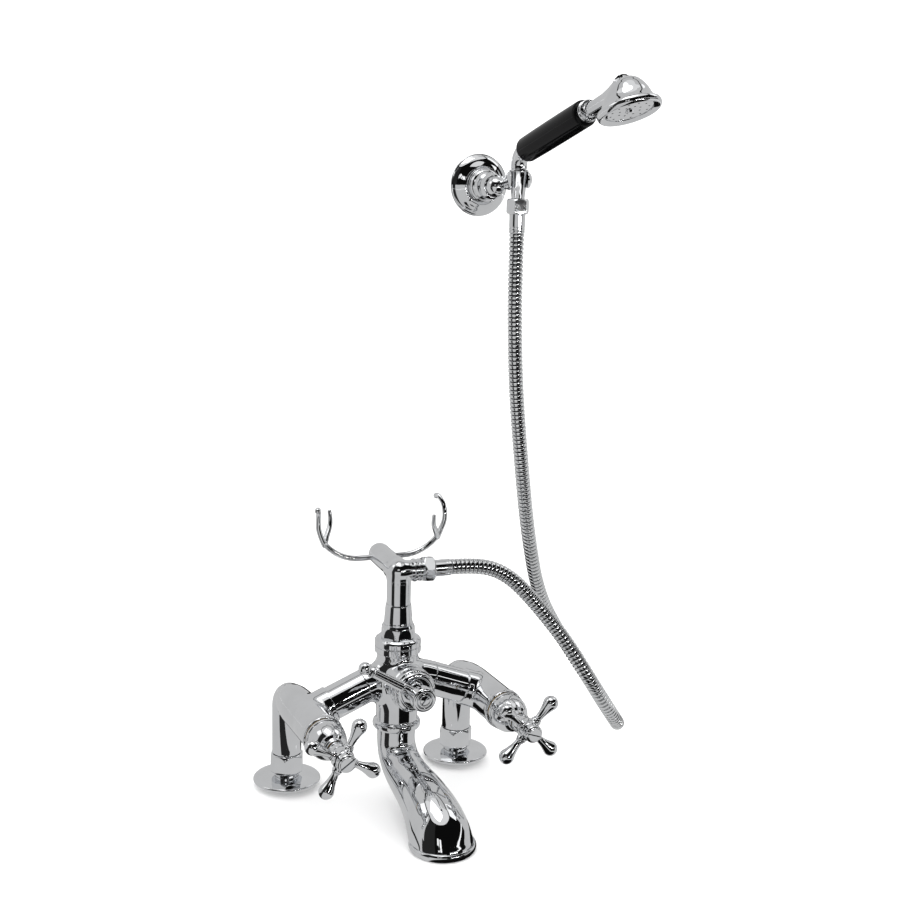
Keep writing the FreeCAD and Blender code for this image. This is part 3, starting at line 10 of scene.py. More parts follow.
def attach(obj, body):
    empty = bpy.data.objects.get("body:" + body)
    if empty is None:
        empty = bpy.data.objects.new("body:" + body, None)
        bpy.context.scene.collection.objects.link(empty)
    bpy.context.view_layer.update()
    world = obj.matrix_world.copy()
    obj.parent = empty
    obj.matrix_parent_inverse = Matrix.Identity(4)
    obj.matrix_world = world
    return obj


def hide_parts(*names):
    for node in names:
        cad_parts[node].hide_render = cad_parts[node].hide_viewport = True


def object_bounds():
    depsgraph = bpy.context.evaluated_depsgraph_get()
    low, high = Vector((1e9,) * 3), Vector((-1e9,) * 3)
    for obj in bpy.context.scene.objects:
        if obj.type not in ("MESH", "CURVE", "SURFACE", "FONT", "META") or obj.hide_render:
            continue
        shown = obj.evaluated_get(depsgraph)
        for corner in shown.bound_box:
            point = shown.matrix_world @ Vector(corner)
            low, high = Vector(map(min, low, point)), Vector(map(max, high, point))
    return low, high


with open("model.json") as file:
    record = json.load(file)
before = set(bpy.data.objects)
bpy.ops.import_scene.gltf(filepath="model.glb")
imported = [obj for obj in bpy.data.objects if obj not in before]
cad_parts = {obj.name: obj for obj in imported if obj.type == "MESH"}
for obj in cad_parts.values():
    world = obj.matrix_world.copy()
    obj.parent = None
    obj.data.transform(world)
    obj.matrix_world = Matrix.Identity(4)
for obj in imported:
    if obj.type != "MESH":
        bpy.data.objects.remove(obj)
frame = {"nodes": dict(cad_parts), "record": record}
cad_low, cad_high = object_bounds()

# Dimensions in this file are millimetres, as in the CAD source; MM turns them into metres.
MM = 0.001
X_AXIS = Vector((1, 0, 0))
Y_AXIS = Vector((0, 1, 0))
Z_AXIS = Vector((0, 0, 1))
FRONT = Vector((0, -1, 0))
DOWN = Vector((0, 0, -1))
# Segments round a turned piece, and round a wide one
ROUND = 96
FINE = 128


def new_object(name, data):
    obj = bpy.data.objects.new(name, data)
    bpy.context.scene.collection.objects.link(obj)
    return obj


# Camera, at the photograph's angle

CAMERA_AT = (-485.9, -1253.8, 611.9)
CAMERA_AZIMUTH = -24.13
CAMERA_DOWN = 12.08
CAMERA_ROLL = 1.45
CAMERA_LENS = 57.54


def toward(right, up):
    """A direction, in degrees to the right of the camera's own side and above the level."""
    azimuth = math.radians(CAMERA_AZIMUTH + right)
    tall = math.radians(up)
    return Vector((math.sin(azimuth) * math.cos(tall), -math.cos(azimuth) * math.cos(tall),
                   math.sin(tall)))


def make_camera():
    data = bpy.data.cameras.new("camera")
    data.lens = CAMERA_LENS
    data.sensor_width = 36
    data.clip_start = 0.05
    data.clip_end = 50
    camera = new_object("camera", data)
    azimuth = math.radians(CAMERA_AZIMUTH)
    roll = math.radians(CAMERA_ROLL)
    back = toward(0, CAMERA_DOWN)
    level = Vector((math.cos(azimuth), math.sin(azimuth), 0))
    upright = back.cross(level)
    right = level * math.cos(roll) + upright * math.sin(roll)
    up = upright * math.cos(roll) - level * math.sin(roll)
    turn = Matrix((right, up, back)).transposed().to_4x4()
    camera.matrix_world = Matrix.Translation(Vector(CAMERA_AT) * MM) @ turn
    bpy.context.scene.camera = camera


make_camera()


# Materials

def add_node(nodes, kind, **values):
    """A shader node with values on its inputs, an input's spaces written as underscores."""
    node = nodes.new("ShaderNode" + kind)
    for name, value in values.items():
        node.inputs[name.replace("_", " ")].default_value = value
    return node


def noise(nodes, links, scale, detail, stretch=(1, 1, 1)):
    place = add_node(nodes, "TexCoord")
    mapping = add_node(nodes, "Mapping", Scale=stretch)
    texture = add_node(nodes, "TexNoise", Scale=scale, Detail=detail)
    links.new(place.outputs["Object"], mapping.inputs["Vector"])
    links.new(mapping.outputs["Vector"], texture.inputs["Vector"])
    return texture.outputs["Fac"]


def surfaced(name, color, metallic, rough, patch, grain, depth, stretch=(1, 1, 1), shade=0.93):
    """A material whose colour and roughness vary in broad patches, over a fine relief."""
    material = bpy.data.materials.new(name)
    material.use_nodes = True
    nodes, links = material.node_tree.nodes, material.node_tree.links
    shader = nodes["Principled BSDF"]
    shader.inputs["Metallic"].default_value = metallic
    broad = noise(nodes, links, patch, 3)
    roughness = add_node(nodes, "MapRange", From_Min=0.3, From_Max=0.7, To_Min=rough[0],
                         To_Max=rough[1])
    links.new(broad, roughness.inputs["Value"])
    links.new(roughness.outputs["Result"], shader.inputs["Roughness"])
    ramp = add_node(nodes, "ValToRGB")
    darker = tuple(c * shade for c in color)
    for stop, place, value in zip(ramp.color_ramp.elements, (0.35, 0.65), (darker, color)):
        stop.position = place
        stop.color = (*value, 1)
    links.new(broad, ramp.inputs["Fac"])
    links.new(ramp.outputs["Color"], shader.inputs["Base Color"])
    relief = add_node(nodes, "Bump", Strength=1, Distance=depth)
    links.new(noise(nodes, links, grain, 2, stretch), relief.inputs["Height"])
    links.new(relief.outputs["Normal"], shader.inputs["Normal"])
    return material, shader


CHROME, _ = surfaced("polished_chrome", (0.86, 0.87, 0.885), 1, (0.025, 0.06), 30, 45, 0.00012)
HOSE_METAL, _ = surfaced("hose_chrome", (0.86, 0.87, 0.88), 1, (0.04, 0.09), 60, 900, 0.00001)
# A dark metal colour for the hose's grooves: painted shade in the recesses, with some dirt
GROOVE_SHADE_AND_DIRT, _ = surfaced("hose_groove_shade_and_dirt", (0.03, 0.03, 0.032), 1, (0.3, 0.45), 60, 900, 0.00001)
BRASS, _ = surfaced("machined_brass", (0.72, 0.52, 0.24), 1, (0.2, 0.32), 90, 1500, 0.00002,
                    (1, 0.1, 1))
STEEL, _ = surfaced("plain_steel", (0.55, 0.56, 0.57), 1, (0.25, 0.38), 90, 1400, 0.00002)
RUBBER, _ = surfaced("seal_rubber", (0.025, 0.025, 0.025), 0, (0.5, 0.7), 120, 900, 0.00003)
GRIP, grip_shader = surfaced("black_grip", (0.002, 0.002, 0.0022), 0, (0.05, 0.09), 80, 60, 0.00003)
grip_shader.inputs["Specular IOR Level"].default_value = 0.06
grip_shader.inputs["Coat Weight"].default_value = 0.12
grip_shader.inputs["Coat Roughness"].default_value = 0.04

FINISH = {"chrome": CHROME, "brass": BRASS, "steel": STEEL, "hose_metal": HOSE_METAL,
          "grip_black": GRIP, "rubber": RUBBER}

for row in frame["record"]["subparts"]:
    slots = frame["nodes"][row["node"]].data.materials
    slots.clear()
    slots.append(FINISH[row["material_slot"]])


# Mesh helpers

SHARP_ANGLE = 32
CAST_SHARP_ANGLE = 40
WELD = 1e-7
ON_AXIS = 1e-6


def to_object(name, vertices, faces):
    """A closed mesh with outward normals and smooth shading, but for its sharp edges."""
    mesh = bpy.data.meshes.new(name)
    mesh.from_pydata([Vector(v) * MM for v in vertices], [], faces)
    tidy_mesh(mesh)
    return new_object(name, mesh)


def tidy_mesh(mesh, sharp_angle=SHARP_ANGLE):
    work = bmesh.new()
    work.from_mesh(mesh)
    bmesh.ops.remove_doubles(work, verts=work.verts, dist=WELD)
    bmesh.ops.recalc_face_normals(work, faces=work.faces)
    limit = math.radians(sharp_angle)
    for face in work.faces:
        face.smooth = True
    for edge in work.edges:
        edge.smooth = edge.calc_face_angle(0) < limit
    work.to_mesh(mesh)
    work.free()


def arc_points(start, middle, end, step=7):
    """Points on the arc through three (r, h) points, its start left out."""
    (ax, ay), (bx, by), (cx, cy) = start, middle, end
    d = 2 * (ax * (by - cy) + bx * (cy - ay) + cx * (ay - by))
    if abs(d) < 1e-9:
        return [middle, end]
    sa, sb, sc = ax * ax + ay * ay, bx * bx + by * by, cx * cx + cy * cy
    ux = (sa * (by - cy) + sb * (cy - ay) + sc * (ay - by)) / d
    uy = (sa * (cx - bx) + sb * (ax - cx) + sc * (bx - ax)) / d
    radius = math.hypot(ax - ux, ay - uy)
    first = math.atan2(ay - uy, ax - ux)
    mid = (math.atan2(by - uy, bx - ux) - first) % math.tau
    last = (math.atan2(cy - uy, cx - ux) - first) % math.tau
    if mid > last:
        last -= math.tau
    count = max(4, math.ceil(abs(math.degrees(last)) / step))
    points = []
    for i in range(1, count + 1):
        angle = first + last * i / count
        points.append((ux + radius * math.cos(angle), uy + radius * math.sin(angle)))
    return points


BEVEL = 0.35
LEAST_BEVEL = 0.02
LEAST_CORNER = math.radians(14)
FLAT_HOLD = 0.12


def refine(outline, bevel, pitch):
    """Divides the arcs of a closed (r, h) outline, rounds its corners a little and holds its
    straight runs flat with a point near each end. A point with a third value is the middle of
    an arc."""
    points = []
    count = len(outline)
    for i, here in enumerate(outline):
        if len(here) == 3:
            continue
        after = outline[(i + 1) % count]
        points.append(here)
        if len(after) == 3:
            points += arc_points(here, after[:2], outline[(i + 2) % count][:2])[:-1]
    soft = []
    count = len(points)
    for i in range(count):
        a, b, c = (Vector(points[(i + k) % count]) for k in (-1, 0, 1))
        before, after = a - b, c - b
        if min(before.length, after.length) < 1e-6:
            continue
        turn = math.pi - before.angle(after)
        reach = min(bevel, 0.4 * before.length, 0.4 * after.length)
        if turn < LEAST_CORNER or b.x < ON_AXIS or reach < LEAST_BEVEL:
            soft.append(b)
            continue
        one, two = b + before.normalized() * reach, b + after.normalized() * reach
        if before.length > 2.4 * bevel:
            soft.append(b + before.normalized() * (reach + FLAT_HOLD))
        for t in (0, 0.33, 0.67, 1):
            soft.append(one * (1 - t) ** 2 + b * 2 * t * (1 - t) + two * t * t)
        if after.length > 2.4 * bevel:
            soft.append(b + after.normalized() * (reach + FLAT_HOLD))
    return divided(soft, pitch) if pitch else soft


def divided(points, pitch):
    done = []
    for i, here in enumerate(points):
        after = points[(i + 1) % len(points)]
        steps = max(1, math.ceil((after - here).length / pitch))
        if max(here.x, after.x) < ON_AXIS:
            steps = 1
        done += [here.lerp(after, k / steps) for k in range(steps)]
    return done


def frame_to(at, along, spin=0):
    """Turns a shape made on +Z to lie along a direction, from a point."""
    along = Vector(along).normalized()
    turn = Z_AXIS.rotation_difference(along)
    if along.dot(Z_AXIS) < -0.999999:
        turn = Quaternion(X_AXIS, math.pi)
    turn = turn @ Quaternion(Z_AXIS, math.radians(spin))
    return Matrix.Translation(Vector(at)) @ turn.to_matrix().to_4x4()


def lathe(outline, at, along, spin=0, bevel=BEVEL, across=None, segments=ROUND, pitch=None):
    """Revolves a closed (r, h) outline. across clips it to a hexagon of that width."""
    points = refine(outline, bevel, pitch)
    matrix = frame_to(at, along, spin)
    vertices, rings = [], []
    for point in points:
        if point.x < ON_AXIS:
            rings.append([len(vertices)])
            vertices.append(matrix @ Vector((0, 0, point.y)))
            continue
        ring = []
        for i in range(segments):
            angle = math.tau * i / segments
            radius = point.x
            if across:
                off = (angle % (math.tau / 6)) - math.tau / 6 / 2
                radius = min(radius, across / 2 / math.cos(off))
            ring.append(len(vertices))
            around = Vector((radius * math.cos(angle), radius * math.sin(angle), point.y))
            vertices.append(matrix @ around)
        rings.append(ring)
    faces = []
    for i, here in enumerate(rings):
        after = rings[(i + 1) % len(rings)]
        if len(here) == 1 and len(after) == 1:
            continue
        for k in range(segments):
            n = (k + 1) % segments
            if len(here) == 1:
                faces.append((here[0], after[k], after[n]))
            elif len(after) == 1:
                faces.append((here[k], here[n], after[0]))
            else:
                faces.append((here[k], here[n], after[n], after[k]))
    return vertices, faces


def rod(radius, low, high):
    """The outline of a plain round bar."""
    return [(0, low), (radius, low), (radius, high), (0, high)]


def globe(radius):
    """The outline of a ball."""
    return [(0, -radius), (radius, 0, 0), (0, radius)]


def filled(profile):
    """The outline of a solid turned shape given as (height, radius) pairs."""
    return [(0, profile[0][0])] + [(r, h) for h, r in profile] + [(0, profile[-1][0])]


def skin(rings, closed=False):
    """Joins rings of equal count into a tube; ends are closed unless the tube is a loop."""
    vertices = [v for ring in rings for v in ring]
    count = len(rings[0])
    faces = []
    turns = len(rings) if closed else len(rings) - 1
    for i in range(turns):
        a, b = i * count, ((i + 1) % len(rings)) * count
        for k in range(count):
            n = (k + 1) % count
            faces.append((a + k, a + n, b + n, b + k))
    if not closed:
        faces.append(tuple(range(count))[::-1])
        faces.append(tuple(range(len(vertices) - count, len(vertices))))
    return vertices, faces


def circle(centre, direction, radius, steady, segments=48):
    direction = Vector(direction).normalized()
    side = (Vector(steady) - direction * direction.dot(steady)).normalized()
    other = direction.cross(side)
    return [Vector(centre) + side * (radius * math.cos(math.tau * i / segments))
            + other * (radius * math.sin(math.tau * i / segments)) for i in range(segments)]


def bend(pivot, radius, outward, tube_r, steady, turn=math.pi / 2, steps=16, segments=48):
    """A bend about pivot, that starts outward of it and turns upwards."""
    rings = []
    for i in range(steps + 1):
        a = turn * i / steps
        centre = pivot + outward * (radius * math.cos(a)) + Z_AXIS * (radius * math.sin(a))
        ahead = Z_AXIS * math.cos(a) - outward * math.sin(a)
        rings.append(circle(centre, ahead, tube_r, steady, segments))
    return skin(rings)


END_STEPS = 7
END_REACH = 0.98


def round_end(centre, direction, radius, steady, segments, outward):
    """Rings that close a limb with a round end."""
    rings = []
    for i in range(1, END_STEPS + 1):
        angle = math.pi / 2 * i / END_STEPS * END_REACH
        out = Vector(direction).normalized() * (outward * radius * math.sin(angle))
        rings.append(circle(Vector(centre) + out, direction, radius * math.cos(angle), steady,
                            segments))
    return rings


def smooth_path(points, steps):
    """A smooth curve through points, as (point, direction) pairs."""
    points = [Vector(p) for p in points]
    ends = [points[0] * 2 - points[1]] + points + [points[-1] * 2 - points[-2]]
    found = []
    for i in range(len(points) - 1):
        p0, p1, p2, p3 = ends[i:i + 4]
        for k in range(steps + (i == len(points) - 2)):
            t = k / steps
            place = 0.5 * ((2 * p1) + (p2 - p0) * t + (2 * p0 - 5 * p1 + 4 * p2 - p3) * t * t
                           + (3 * p1 - 3 * p2 + p3 - p0) * t ** 3)
            slope = 0.5 * ((p2 - p0) + 2 * (2 * p0 - 5 * p1 + 4 * p2 - p3) * t
                           + 3 * (3 * p1 - 3 * p2 + p3 - p0) * t * t)
            found.append((place, slope.normalized()))
    return found


def limb(path, radius_at, steady, segments=40):
    """A tapering limb along (point, direction) pairs, with round ends."""
    count = len(path)
    first, last = path[0], path[-1]
    rings = round_end(*first, radius_at(0), steady, segments, -1)[::-1]
    for i, (place, direction) in enumerate(path):
        rings.append(circle(place, direction, radius_at(i / (count - 1)), steady, segments))
    rings += round_end(*last, radius_at(1), steady, segments, 1)
    return skin(rings)


def joined(parts):
    vertices, faces = [], []
    for more_vertices, more_faces in parts:
        start = len(vertices)
        vertices += list(more_vertices)
        faces += [tuple(i + start for i in face) for face in more_faces]
    return vertices, faces


def apply_modifiers(obj):
    graph = bpy.context.evaluated_depsgraph_get()
    mesh = bpy.data.meshes.new_from_object(obj.evaluated_get(graph))
    obj.modifiers.clear()
    obj.data = mesh


def cut(obj, cutter):
    change = obj.modifiers.new("cut", "BOOLEAN")
    change.operation = "DIFFERENCE"
    change.solver = "EXACT"
    change.object = cutter
    apply_modifiers(obj)
    bpy.data.objects.remove(cutter)
    tidy_mesh(obj.data)


def cut_slot(obj, centre, sizes, turn):
    work = bmesh.new()
    bmesh.ops.create_cube(work, size=1)
    matrix = turn.to_matrix().to_4x4() @ Matrix.Diagonal((*[s * MM for s in sizes], 1))
    matrix = Matrix.Translation(Vector(centre) * MM) @ matrix
    bmesh.ops.transform(work, matrix=matrix, verts=work.verts)
    mesh = bpy.data.meshes.new("slot")
    work.to_mesh(mesh)
    work.free()
    cut(obj, new_object("slot", mesh))


def cut_front_slot(obj, centre, sizes, angle):
    """A screwdriver slot in a piece that faces the front."""
    cut_slot(obj, centre, sizes, Quaternion(Y_AXIS, -math.radians(angle)))


def finish_piece(obj, *nodes, body="mixer", slot="chrome"):
    obj.data.materials.clear()
    obj.data.materials.append(FINISH[slot])
    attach(obj, body)
    if nodes:
        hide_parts(*nodes)
    return obj


def piece(name, shells, *nodes, **where):
    """One visible piece made of closed shells."""
    return finish_piece(to_object(name, *joined(shells)), *nodes, **where)


def turned(name, outline, at, along, *nodes, body="mixer", slot="chrome", **how):
    """One visible piece turned from an outline."""
    return piece(name, [lathe(outline, at, along, **how)], *nodes, body=body, slot=slot)


# Blended castings: a voxel mesh of the shells, each vertex then moved on to a smooth distance field

def length_of(*parts):
    return np.sqrt(sum(p * p for p in parts))


def along_axis(points, at, along):
    """Each point's height along an axis and its distance from it."""
    along = np.array(Vector(along).normalized())
    rel = points - np.array(at)
    h = rel @ along
    return h, np.linalg.norm(rel - np.outer(h, along), axis=1)


def cylinder_field(points, at, along, radius, low, high, edge):
    """Distance to a capped cylinder with a rounded rim."""
    h, r = along_axis(points, at, along)
    dr = r - radius + edge
    dh = np.abs(h - (low + high) / 2) - (high - low) / 2 + edge
    outside = length_of(np.maximum(dr, 0), np.maximum(dh, 0))
    return outside + np.minimum(np.maximum(dr, dh), 0) - edge


def cone_field(points, at, along, profile):
    """Distance, nearly, to a turned shape given as (height, radius) pairs."""
    h, r = along_axis(points, at, along)
    heights = [p[0] for p in profile]
    side = r - np.interp(h, heights, [p[1] for p in profile])
    return np.maximum(side, np.maximum(heights[0] - h, h - heights[-1]))


def ball_field(points, centre, radius):
    return np.linalg.norm(points - np.array(centre), axis=1) - radius


# A distance that no blend reaches, in mm
FAR = 40


def bend_field(points, pivot, radius, outward, tube_r, steady):
    """Distance to a quarter bend that starts outward of its pivot and turns upwards."""
    rel = points - np.array(pivot)
    out, up = rel @ np.array(outward), rel[:, 2]
    distance = length_of(length_of(out, up) - radius, rel @ np.array(steady)) - tube_r
    return np.where((out > -3) & (up > -3), distance, FAR)


def smooth_min(a, b, blend):
    h = np.clip(0.5 + 0.5 * (b - a) / blend, 0, 1)
    return b + (a - b) * h - blend * h * (1 - h)


ROUNDS = 6
SLOPE_STEP = 0.02


def blended(name, shells, field, voxel, *nodes, body="mixer"):
    """The union of the shells, drawn on to field's zero surface."""
    obj = to_object(name, *joined(shells))
    remesh = obj.modifiers.new("remesh", "REMESH")
    remesh.mode = "VOXEL"
    remesh.voxel_size = voxel * MM
    remesh.adaptivity = 0
    apply_modifiers(obj)
    mesh = obj.data
    points = np.zeros(len(mesh.vertices) * 3)
    mesh.vertices.foreach_get("co", points)
    points = points.reshape(-1, 3) / MM
    for _ in range(ROUNDS):
        value = field(points)
        slope = np.stack([(field(points + SLOPE_STEP * e) - field(points - SLOPE_STEP * e))
                          / (2 * SLOPE_STEP) for e in np.eye(3)], axis=1)
        size = (slope * slope).sum(1)
        move = slope * (value / np.maximum(size, 0.2))[:, None]
        far = np.linalg.norm(move, axis=1)
        points -= move * np.minimum(1, 2 * voxel / np.maximum(far, 1e-9))[:, None]
    mesh.vertices.foreach_set("co", (points * MM).ravel())
    mesh.update()
    tidy_mesh(mesh, CAST_SHARP_ANGLE)
    return finish_piece(obj, *nodes, body=body)


# Sizes shared with the CAD source

VALVE_X = 90
VALVE_Z = 88
COLUMN_Y = 60
ARM_ANGLE = 21.5
ARM_SEAM_X = 33
ARM_R = 16
ARM_Z = (VALVE_Z + (VALVE_X - ARM_SEAM_X) * math.tan(math.radians(ARM_ANGLE))
         + ARM_SEAM_X * math.tan(math.radians(ARM_ANGLE / 2)))
COLUMN_TOP_Z = ARM_Z + ARM_R + 9.3
CAP_TOP_Z = COLUMN_TOP_Z + 14
COLUMN = Vector((0, -COLUMN_Y, 0))
RISER_YAW = math.radians(-3.5)
OUTLET_DIR = Vector((math.cos(RISER_YAW), math.sin(RISER_YAW), 0))
HORN_DIR = Vector((-math.sin(RISER_YAW), math.cos(RISER_YAW), 0))
OUTLET_Z = 219.5
STEM_TOP = COLUMN + Z_AXIS * OUTLET_Z
BRACKET = Vector((126, 60, 571))
BALL = BRACKET + FRONT * 40
TAIL = Vector((144, 7, 0))
FERRULE_R = 7.8


# The hose first: its line, its interlocked spiral and its bore

HOSE_R = 7.3
HOSE_ROOT_R = 6.1
HOSE_BORE_R = 4
HOSE_PITCH = 4.3
HOSE_SIDE = Vector((0.85, -0.25, 0.5))
ROUTE = [
    (50.9, -63.1, 219.5), (79.8, -64.9, 219.5), (107.3, -69, 209), (131, -77, 185),
    (165, -90, 140), (192, -109.8, 89.3), (227.5, -91.4, 45.1), (253.7, -40.7, 27.4),
    (257.2, 16.1, 45.4), (236, 49.5, 89.9), (201.5, 42, 144), (178.5, 25, 213),
    (165, 16, 275), (150.5, 10, 370), (144.8, 7, 442), (144, 7, 486),
    (144, 7, 527),
]


def hose_line():
    """Points read from the route's own smooth curve."""
    data = bpy.data.curves.new("hose_line", "CURVE")
    data.dimensions = "3D"
    data.resolution_u = 40
    spline = data.splines.new("NURBS")
    spline.points.add(len(ROUTE) - 1)
    for point, place in zip(spline.points, ROUTE):
        point.co = (*[c * MM for c in place], 1)
    spline.order_u = 3
    spline.use_endpoint_u = True
    obj = new_object("hose_line", data)
    mesh = bpy.data.meshes.new_from_object(obj)
    line = [v.co / MM for v in mesh.vertices]
    bpy.data.objects.remove(obj)
    start = Vector(ROUTE[0])
    return line if (line[0] - start).length < (line[-1] - start).length else line[::-1]


HOSE_SEGMENTS = 28
HOSE_LOOK = 1.5
BORE_RINGS = 220
# One rib of the hose, as its share of the pitch and its radius
RIB = ((0, HOSE_ROOT_R), (0.16, HOSE_ROOT_R), (0.22, HOSE_R - 0.3), (0.27, HOSE_R - 0.06),
       (0.33, HOSE_R), (0.79, HOSE_R), (0.85, HOSE_R - 0.06), (0.9, HOSE_R - 0.3), (0.95, HOSE_ROOT_R))
# The rings of each rib whose faces take the painted groove shade and dirt
SHADE_AND_DIRT_RINGS = (0, 8)


def make_hose():
    line = hose_line()
    travelled = [0]
    for a, b in zip(line, line[1:]):
        travelled.append(travelled[-1] + (b - a).length)
    total = travelled[-1]

    def at(distance):
        return Vector([np.interp(distance, travelled, [p[k] for p in line]) for k in range(3)])

    def ring(distance, radius):
        distance = min(max(distance, 0), total)
        ahead, behind = at(min(distance + HOSE_LOOK, total)), at(max(distance - HOSE_LOOK, 0))
        return circle(at(distance), ahead - behind, radius, HOSE_SIDE, HOSE_SEGMENTS)

    count = round(total / HOSE_PITCH)
    pitch = total / count
    outer = [ring((i + share) * pitch, radius) for i in range(count) for share, radius in RIB]
    outer.append(ring(total, HOSE_ROOT_R))
    inner = [ring(total * i / BORE_RINGS, HOSE_BORE_R) for i in range(BORE_RINGS, -1, -1)]
    obj = piece("hose_spiral", [skin(outer + inner, closed=True)], "hose", slot="hose_metal")
    # The groove faces take the dark material, which paints the shade in the grooves, with some dirt
    obj.data.materials.append(GROOVE_SHADE_AND_DIRT)
    for polygon in obj.data.polygons:
        ring_number = polygon.index // HOSE_SEGMENTS
        if ring_number < len(outer) - 1 and ring_number % len(RIB) in SHADE_AND_DIRT_RINGS:
            polygon.material_index = 1


def hose_nut(name, across, at, along, length, spin, body, node):
    corner = across / math.sqrt(3)
    return turned(name, [
        (FERRULE_R + 0.1, 0), (across / 2 - 0.2, 0), (corner, 2), (corner, length - 2),
        (across / 2 - 0.2, length), (FERRULE_R + 0.1, length),
    ], at, along, node, body=body, spin=spin, bevel=0.25, across=across, pitch=0.7)


def ferrule(name, at, along, length, body, node):
    """Crimped sleeve with two rolled grooves."""
    r = FERRULE_R
    return turned(name, [
        (HOSE_BORE_R, 0), (r - 1.2, 0), (r - 1.2, 1), (r, 1.6), (r, length - 6.4),
        (r - 0.35, length - 6), (r - 0.35, length - 5.2), (r, length - 4.8), (r, length - 3.4),
        (r - 0.3, length - 3), (r - 0.3, length - 2.4), (r, length - 2), (r, length - 1),
        (r - 0.8, length), (HOSE_BORE_R, length),
    ], at, along, node, body=body, bevel=0.2)


TAIL_BASE = TAIL + Z_AXIS * 560
NIPPLE_END = 22.5
SPIGOT_L = 1.8
outlet_at = STEM_TOP + OUTLET_DIR * NIPPLE_END
HOSE_FITTINGS = [
    hose_nut("outlet_nut", 22, outlet_at, OUTLET_DIR, 11, 14, "mixer", "outlet_hose_nut"),
    ferrule("outlet_sleeve", outlet_at + OUTLET_DIR * SPIGOT_L, OUTLET_DIR,
            (Vector(ROUTE[0]) - outlet_at).length - SPIGOT_L, "mixer", "outlet_hose_ferrule"),
    hose_nut("handset_nut", 19.6, TAIL_BASE, DOWN, 14.5, 10, "handset", "handset_hose_nut"),
    ferrule("handset_sleeve", TAIL_BASE - Z_AXIS * SPIGOT_L, DOWN,
            TAIL_BASE.z - SPIGOT_L - ROUTE[-1][2], "handset", "handset_hose_ferrule"),
]
make_hose()


# Deck flanges, union nuts and valve bodies

def deck_fittings(name, x):
    tail_r, flange_r, rim = 11.4, 32.5, 3.2
    bore = tail_r + 0.3
    turned(name + "_flange", [
        (bore, 0), (flange_r - 0.8, 0), (flange_r, rim / 2, 0), (flange_r - 1.2, rim),
        ((flange_r + bore) / 2, rim + 1.1, 0), (bore, rim + 1.6),
    ], (x, 0, 0), Z_AXIS, name + "_deck_flange", segments=FINE)
    across, base, top = 30, 9.7, 28.5
    corner = across / math.sqrt(3)
    height = top - base
    outline = [(11.5, 0), (across / 2 + 0.3, 0), (corner, 2.2), (corner, height - 5.5),
               (corner - 0.4, height - 3.4, 0), (14.6, height), (13.3, height), (13.3, 1.8),
               (11.5, 1.8)]
    spin = 8 if x < 0 else -4
    turned(name + "_nut", outline, (x, 0, base), Z_AXIS, name + "_leg_nut", spin=spin, bevel=0.25,
           across=across, pitch=0.8)


def arm_direction(side):
    turn = math.radians(ARM_ANGLE)
    return Vector((-side * math.cos(turn), 0, math.sin(turn)))


def valve_casting(name, side):
    x = side * VALVE_X
    leg_r, foot, bend_r, bead_from, end = 14.2, 29.1, 12, 103, 110
    collar_r, collar_from, collar_end = 17.4, 8, 26
    pivot = Vector((x, -bend_r, VALVE_Z - bend_r))
    socket = Vector((x, -COLUMN_Y, VALVE_Z))
    profile = [(bend_r, 14.2), (16, 15.8), (20, 16.7), (24, 17.2), (30, 17.7), (36, 18.1), (42, 18.2),
               (bead_from - 0.6, 18.2), (bead_from + 0.6, 18.9), (bead_from + 2, 19.3),
               (bead_from + 4.4, 19.3), (end - 0.6, 18.9), (end, 18.4)]

    def field(p):
        leg = cylinder_field(p, (x, 0, 0), Z_AXIS, leg_r, foot, VALVE_Z - bend_r + 3, 0.4)
        elbow = bend_field(p, pivot, bend_r, Y_AXIS, leg_r, X_AXIS)
        barrel = cone_field(p, (x, 0, VALVE_Z), FRONT, profile)
        collar = cylinder_field(p, socket, arm_direction(side), collar_r, collar_from, collar_end, 0.7)
        whole = smooth_min(np.minimum(leg, elbow), barrel, 3)
        return smooth_min(whole, collar, 3.5)

    shells = [lathe(rod(leg_r, foot, VALVE_Z - bend_r), (x, 0, 0), Z_AXIS),
              bend(pivot, bend_r, Y_AXIS, leg_r, X_AXIS),
              lathe(filled(profile), (x, 0, VALVE_Z), FRONT),
              lathe(rod(collar_r, collar_from, collar_end), socket, arm_direction(side))]
    blended(name + "_casting", shells, field, 0.9, name + "_valve_body")


for name, side in (("left", -1), ("right", 1)):
    deck_fittings(name, side * VALVE_X)
    valve_casting(name, side)


# Headwork covers, cross handles and their screws

HANDLE_Y = 160
HUB_R = 10.2
HUB_BACK, HUB_FRONT = 143, 166
BELL_R = 8.9


def bell_cover(name, x):
    back, front, wide = 112.5, 141, 18.4
    span = front - back
    turned(name + "_bell", [
        (wide, back), (wide, back + 2.2), (wide - 0.9, back + 2.9),
        (wide - 1.5, back + span * 0.38, 0), (BELL_R + 2.9, front - 8.6),
        (BELL_R + 3.3, front - 8), (BELL_R + 3.3, front - 6.8), (BELL_R + 0.6, front - 5.4),
        (BELL_R, front - 4.5), (BELL_R, front), (7.3, front), (7.3, front - 6.5),
        (BELL_R + 1.2, front - 8), (wide - 2.6, back + span * 0.38, 0), (wide - 1.3, back),
    ], (x, 0, VALVE_Z), FRONT, name + "_headwork_cover", bevel=0.25)


def polar(angle):
    """A direction seen from the front, from the right and upwards."""
    turn = math.radians(angle)
    return Vector((math.cos(turn), 0, math.sin(turn)))


